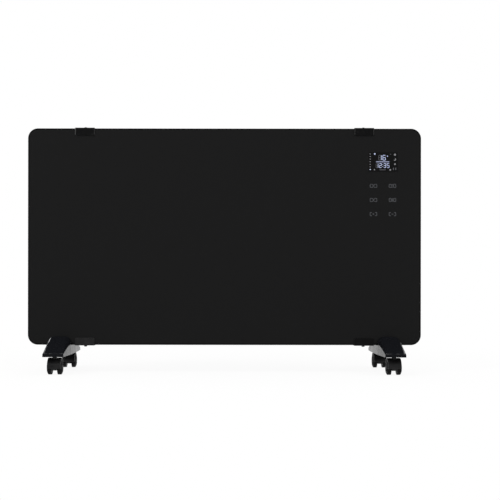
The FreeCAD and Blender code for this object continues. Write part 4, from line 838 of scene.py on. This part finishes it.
# The pale lines along the upper clips' edges are a painted glint, and the paler lower left clip is a
# painted reflection.
clip_glint_band = 1 - abs(abs(clip_across) - strap_half).rise(0.5 * MM, 1.5 * MM)
clip_on_right, clip_on_top = clip_x.rise(-side_blend, side_blend), clip_z.rise(200 * MM, 400 * MM)
clip_outer = clip_across.rise(-1 * MM, 1 * MM) * (1 - clip_on_right)
clip_painted_glint = clip_glint_band * clip_on_top * (clip_outer * (1 - inner_edge_glint) + inner_edge_glint)
clip_painted_reflection = (1 - clip_on_right) * (1 - clip_on_top) * (clip_rub * 0.1 + 0.15)
feed(clip_place,
     Base_Color=(clip_rub * 0.035 + clip_painted_glint + clip_painted_reflection).tint(full_paint, thin_paint_and_sheen),
     Roughness=clip_rub * 0.15 + 0.28,
     Normal=clip_peel.relief(depth=0.03 * MM, edge_radius=0.4 * MM))
dress(clip_finish, "clip_top_left", "clip_top_right", "clip_bottom_left", "clip_bottom_right")


# Power rocker: glossy black polycarbonate that rocks in the switch body, with I and O moulded on.
# Each sign is a thin raised line, filled in white, that lies on one of the two slanted faces.
rocker_finish = moulded_finish("gloss_rocker_plastic", (0.014, 0.014, 0.014), roughness=0.18,
                               grain_size=0.8 * MM, grain_depth=0.01 * MM)
sign_finish = moulded_finish("white_fill", (0.70, 0.70, 0.68), roughness=0.45,
                             grain_size=0.5 * MM, grain_depth=0.01 * MM)
dress(rocker_finish, "switch_rocker")
rocker_pivot = Vector(joints["power_rock"]["pos_m"])
rocker_tilt = math.radians(8)
face_valley, face_tip, face_half = 3 * MM, 6 * MM, 7.8 * MM
face_slope = math.atan2(face_tip - face_valley, face_half)
sign_sink, sign_proud, sign_line, sign_reach = 0.1 * MM, 0.15 * MM, 0.7 * MM, 1.9 * MM
ring_blocks, block_overlap = 24, 1.1
block_width = math.tau * sign_reach / ring_blocks * block_overlap
signs = bmesh.new()


def sign_block(matrix, low, high):
    """A small raised block on a rocker face, between two corners."""
    block = bmesh.ops.create_cube(signs, size=1)["verts"]
    size = Vector(high) - Vector(low)
    bmesh.ops.scale(signs, verts=block, vec=size)
    bmesh.ops.translate(signs, verts=block, vec=(Vector(high) + Vector(low)) / 2)
    bmesh.ops.transform(signs, verts=block, matrix=matrix)


for direction in (1, -1):
    middle = Vector(((face_valley + face_tip) / 2, 0, face_half / 2 * direction))
    lean = Matrix.Rotation(face_slope * direction, 4, "Y")
    on_face = (Matrix.Translation(rocker_pivot) @ Matrix.Rotation(rocker_tilt, 4, "Y")
               @ Matrix.Translation(middle) @ lean)
    if direction > 0:
        sign_block(on_face, (-sign_sink, -sign_line / 2, -sign_reach),
                   (sign_proud, sign_line / 2, sign_reach))
    else:
        for block in range(ring_blocks):
            around = on_face @ Matrix.Rotation(math.tau * block / ring_blocks, 4, "X")
            sign_block(around, (-sign_sink, -block_width / 2, sign_reach - sign_line),
                       (sign_proud, block_width / 2, sign_reach))
add_marks("rocker_signs", signs, sign_finish, "power_rocker")


# Stage: a plain pale floor that runs out into a white surround, a broad soft lamp on each side,
# one overhead and two small ones in front. The surround is white to the eye, dimmer where the
# front mirrors it, and lights from all round.
world = bpy.data.worlds.new("studio")
bpy.context.scene.world = world
world.use_nodes = True
surround_strength = 0.55
front_glow = 0.25


def seen_light(tree, behind, plain):
    """Full light to the eye, less in reflections of the front, plain elsewhere; and what is seen."""
    path = tree.nodes.new("ShaderNodeLightPath")
    camera, through, glossy = [Value(tree, path.outputs[f"Is {ray} Ray"])
                               for ray in ("Camera", "Transmission", "Glossy")]
    direct = camera.larger(through)
    mirrored = glossy * (behind * (1 - front_glow) + front_glow)
    elsewhere = (1 - direct.larger(glossy)) * plain
    return direct.larger(mirrored).larger(elsewhere), direct.larger(glossy)


background = world.node_tree.nodes["Background"]
background.inputs["Color"].default_value = (1, 1, 1, 1)
outlook = world.node_tree.nodes.new("ShaderNodeTexCoord")
outward = Value(world.node_tree, outlook.outputs["Generated"])
glow = seen_light(world.node_tree, outward.along("Y").rise(0.1, 0.5), surround_strength)[0]
world.node_tree.links.new(glow.socket, background.inputs["Strength"])

floor_half, floor_near_share = 8.0, 0.92
floor_mesh = bpy.data.meshes.new("floor")
floor_corners = [(-floor_half, -floor_half, 0), (floor_half, -floor_half, 0),
                 (floor_half, floor_half, 0), (-floor_half, floor_half, 0)]
floor_mesh.from_pydata(floor_corners, [], [(0, 1, 2, 3)])
floor = bpy.data.objects.new("floor", floor_mesh)
bpy.context.scene.collection.objects.link(floor)
floor_finish, floor_place = new_finish("pale_floor", Base_Color=(0.8, 0.8, 0.8, 1), Roughness=0.9)
floor_tree = floor_finish.node_tree
floor_glow, floor_seen = seen_light(floor_tree, floor_place.along("Y").rise(-0.4, 0.1), 0.0)
floor_emission = floor_glow.node("ShaderNodeEmission", {}, {"Strength": floor_glow})
floor_shader = Value(floor_tree, floor_tree.nodes["Principled BSDF"].outputs["BSDF"])
floor_x, floor_y = floor_place.along("X"), floor_place.along("Y")
far = ((floor_x * floor_x + floor_y * floor_y) ** 0.5).rise(0.3, 1.2)
floor_share = floor_seen * (far * (1 - floor_near_share) + floor_near_share)
floor_mix = floor_share.node("ShaderNodeMixShader", {},
                             {0: floor_share, 1: floor_shader, 2: floor_emission})
floor_tree.links.new(floor_mix.socket, floor_tree.nodes["Material Output"].inputs["Surface"])
floor_mesh.materials.append(floor_finish)

target = Vector((0, 0, 0.25))
for name, place, size, power in (
    ("left_lamp", (-1.6, -1.2, 1.5), 0.9, 22.0),
    ("right_lamp", (1.7, -0.9, 1.4), 0.9, 14.0),
    ("top_lamp", (0.0, 0.3, 2.2), 1.4, 12.0),
    ("left_front_lamp", (-0.75, -0.75, 1.9), 0.4, 5.0),
    ("right_front_lamp", (0.75, -0.75, 1.9), 0.4, 4.0),
):
    lamp = bpy.data.lights.new(name, "AREA")
    lamp.size = size
    lamp.energy = power
    holder = bpy.data.objects.new(name, lamp)
    holder.location = place
    holder.rotation_euler = (target - Vector(place)).to_track_quat("-Z", "Y").to_euler()
    bpy.context.scene.collection.objects.link(holder)

camera = bpy.data.cameras.new("product_camera")
camera.sensor_width = 36.0
camera.lens = 72.62
camera.shift_x = 0.0512
camera.shift_y = 0.0763
camera_holder = bpy.data.objects.new("product_camera", camera)
camera_holder.location = (0.0, -2.16, 0.1774)
camera_roll = math.radians(-0.068)
camera_holder.rotation_euler = (math.pi / 2, camera_roll, 0)
bpy.context.scene.collection.objects.link(camera_holder)
bpy.context.scene.camera = camera_holder
bpy.context.scene.view_settings.view_transform = "Standard"

for pattern in (rib, louvre, stiffener, panel_screw, clip_screw):
    bpy.data.objects.remove(pattern)
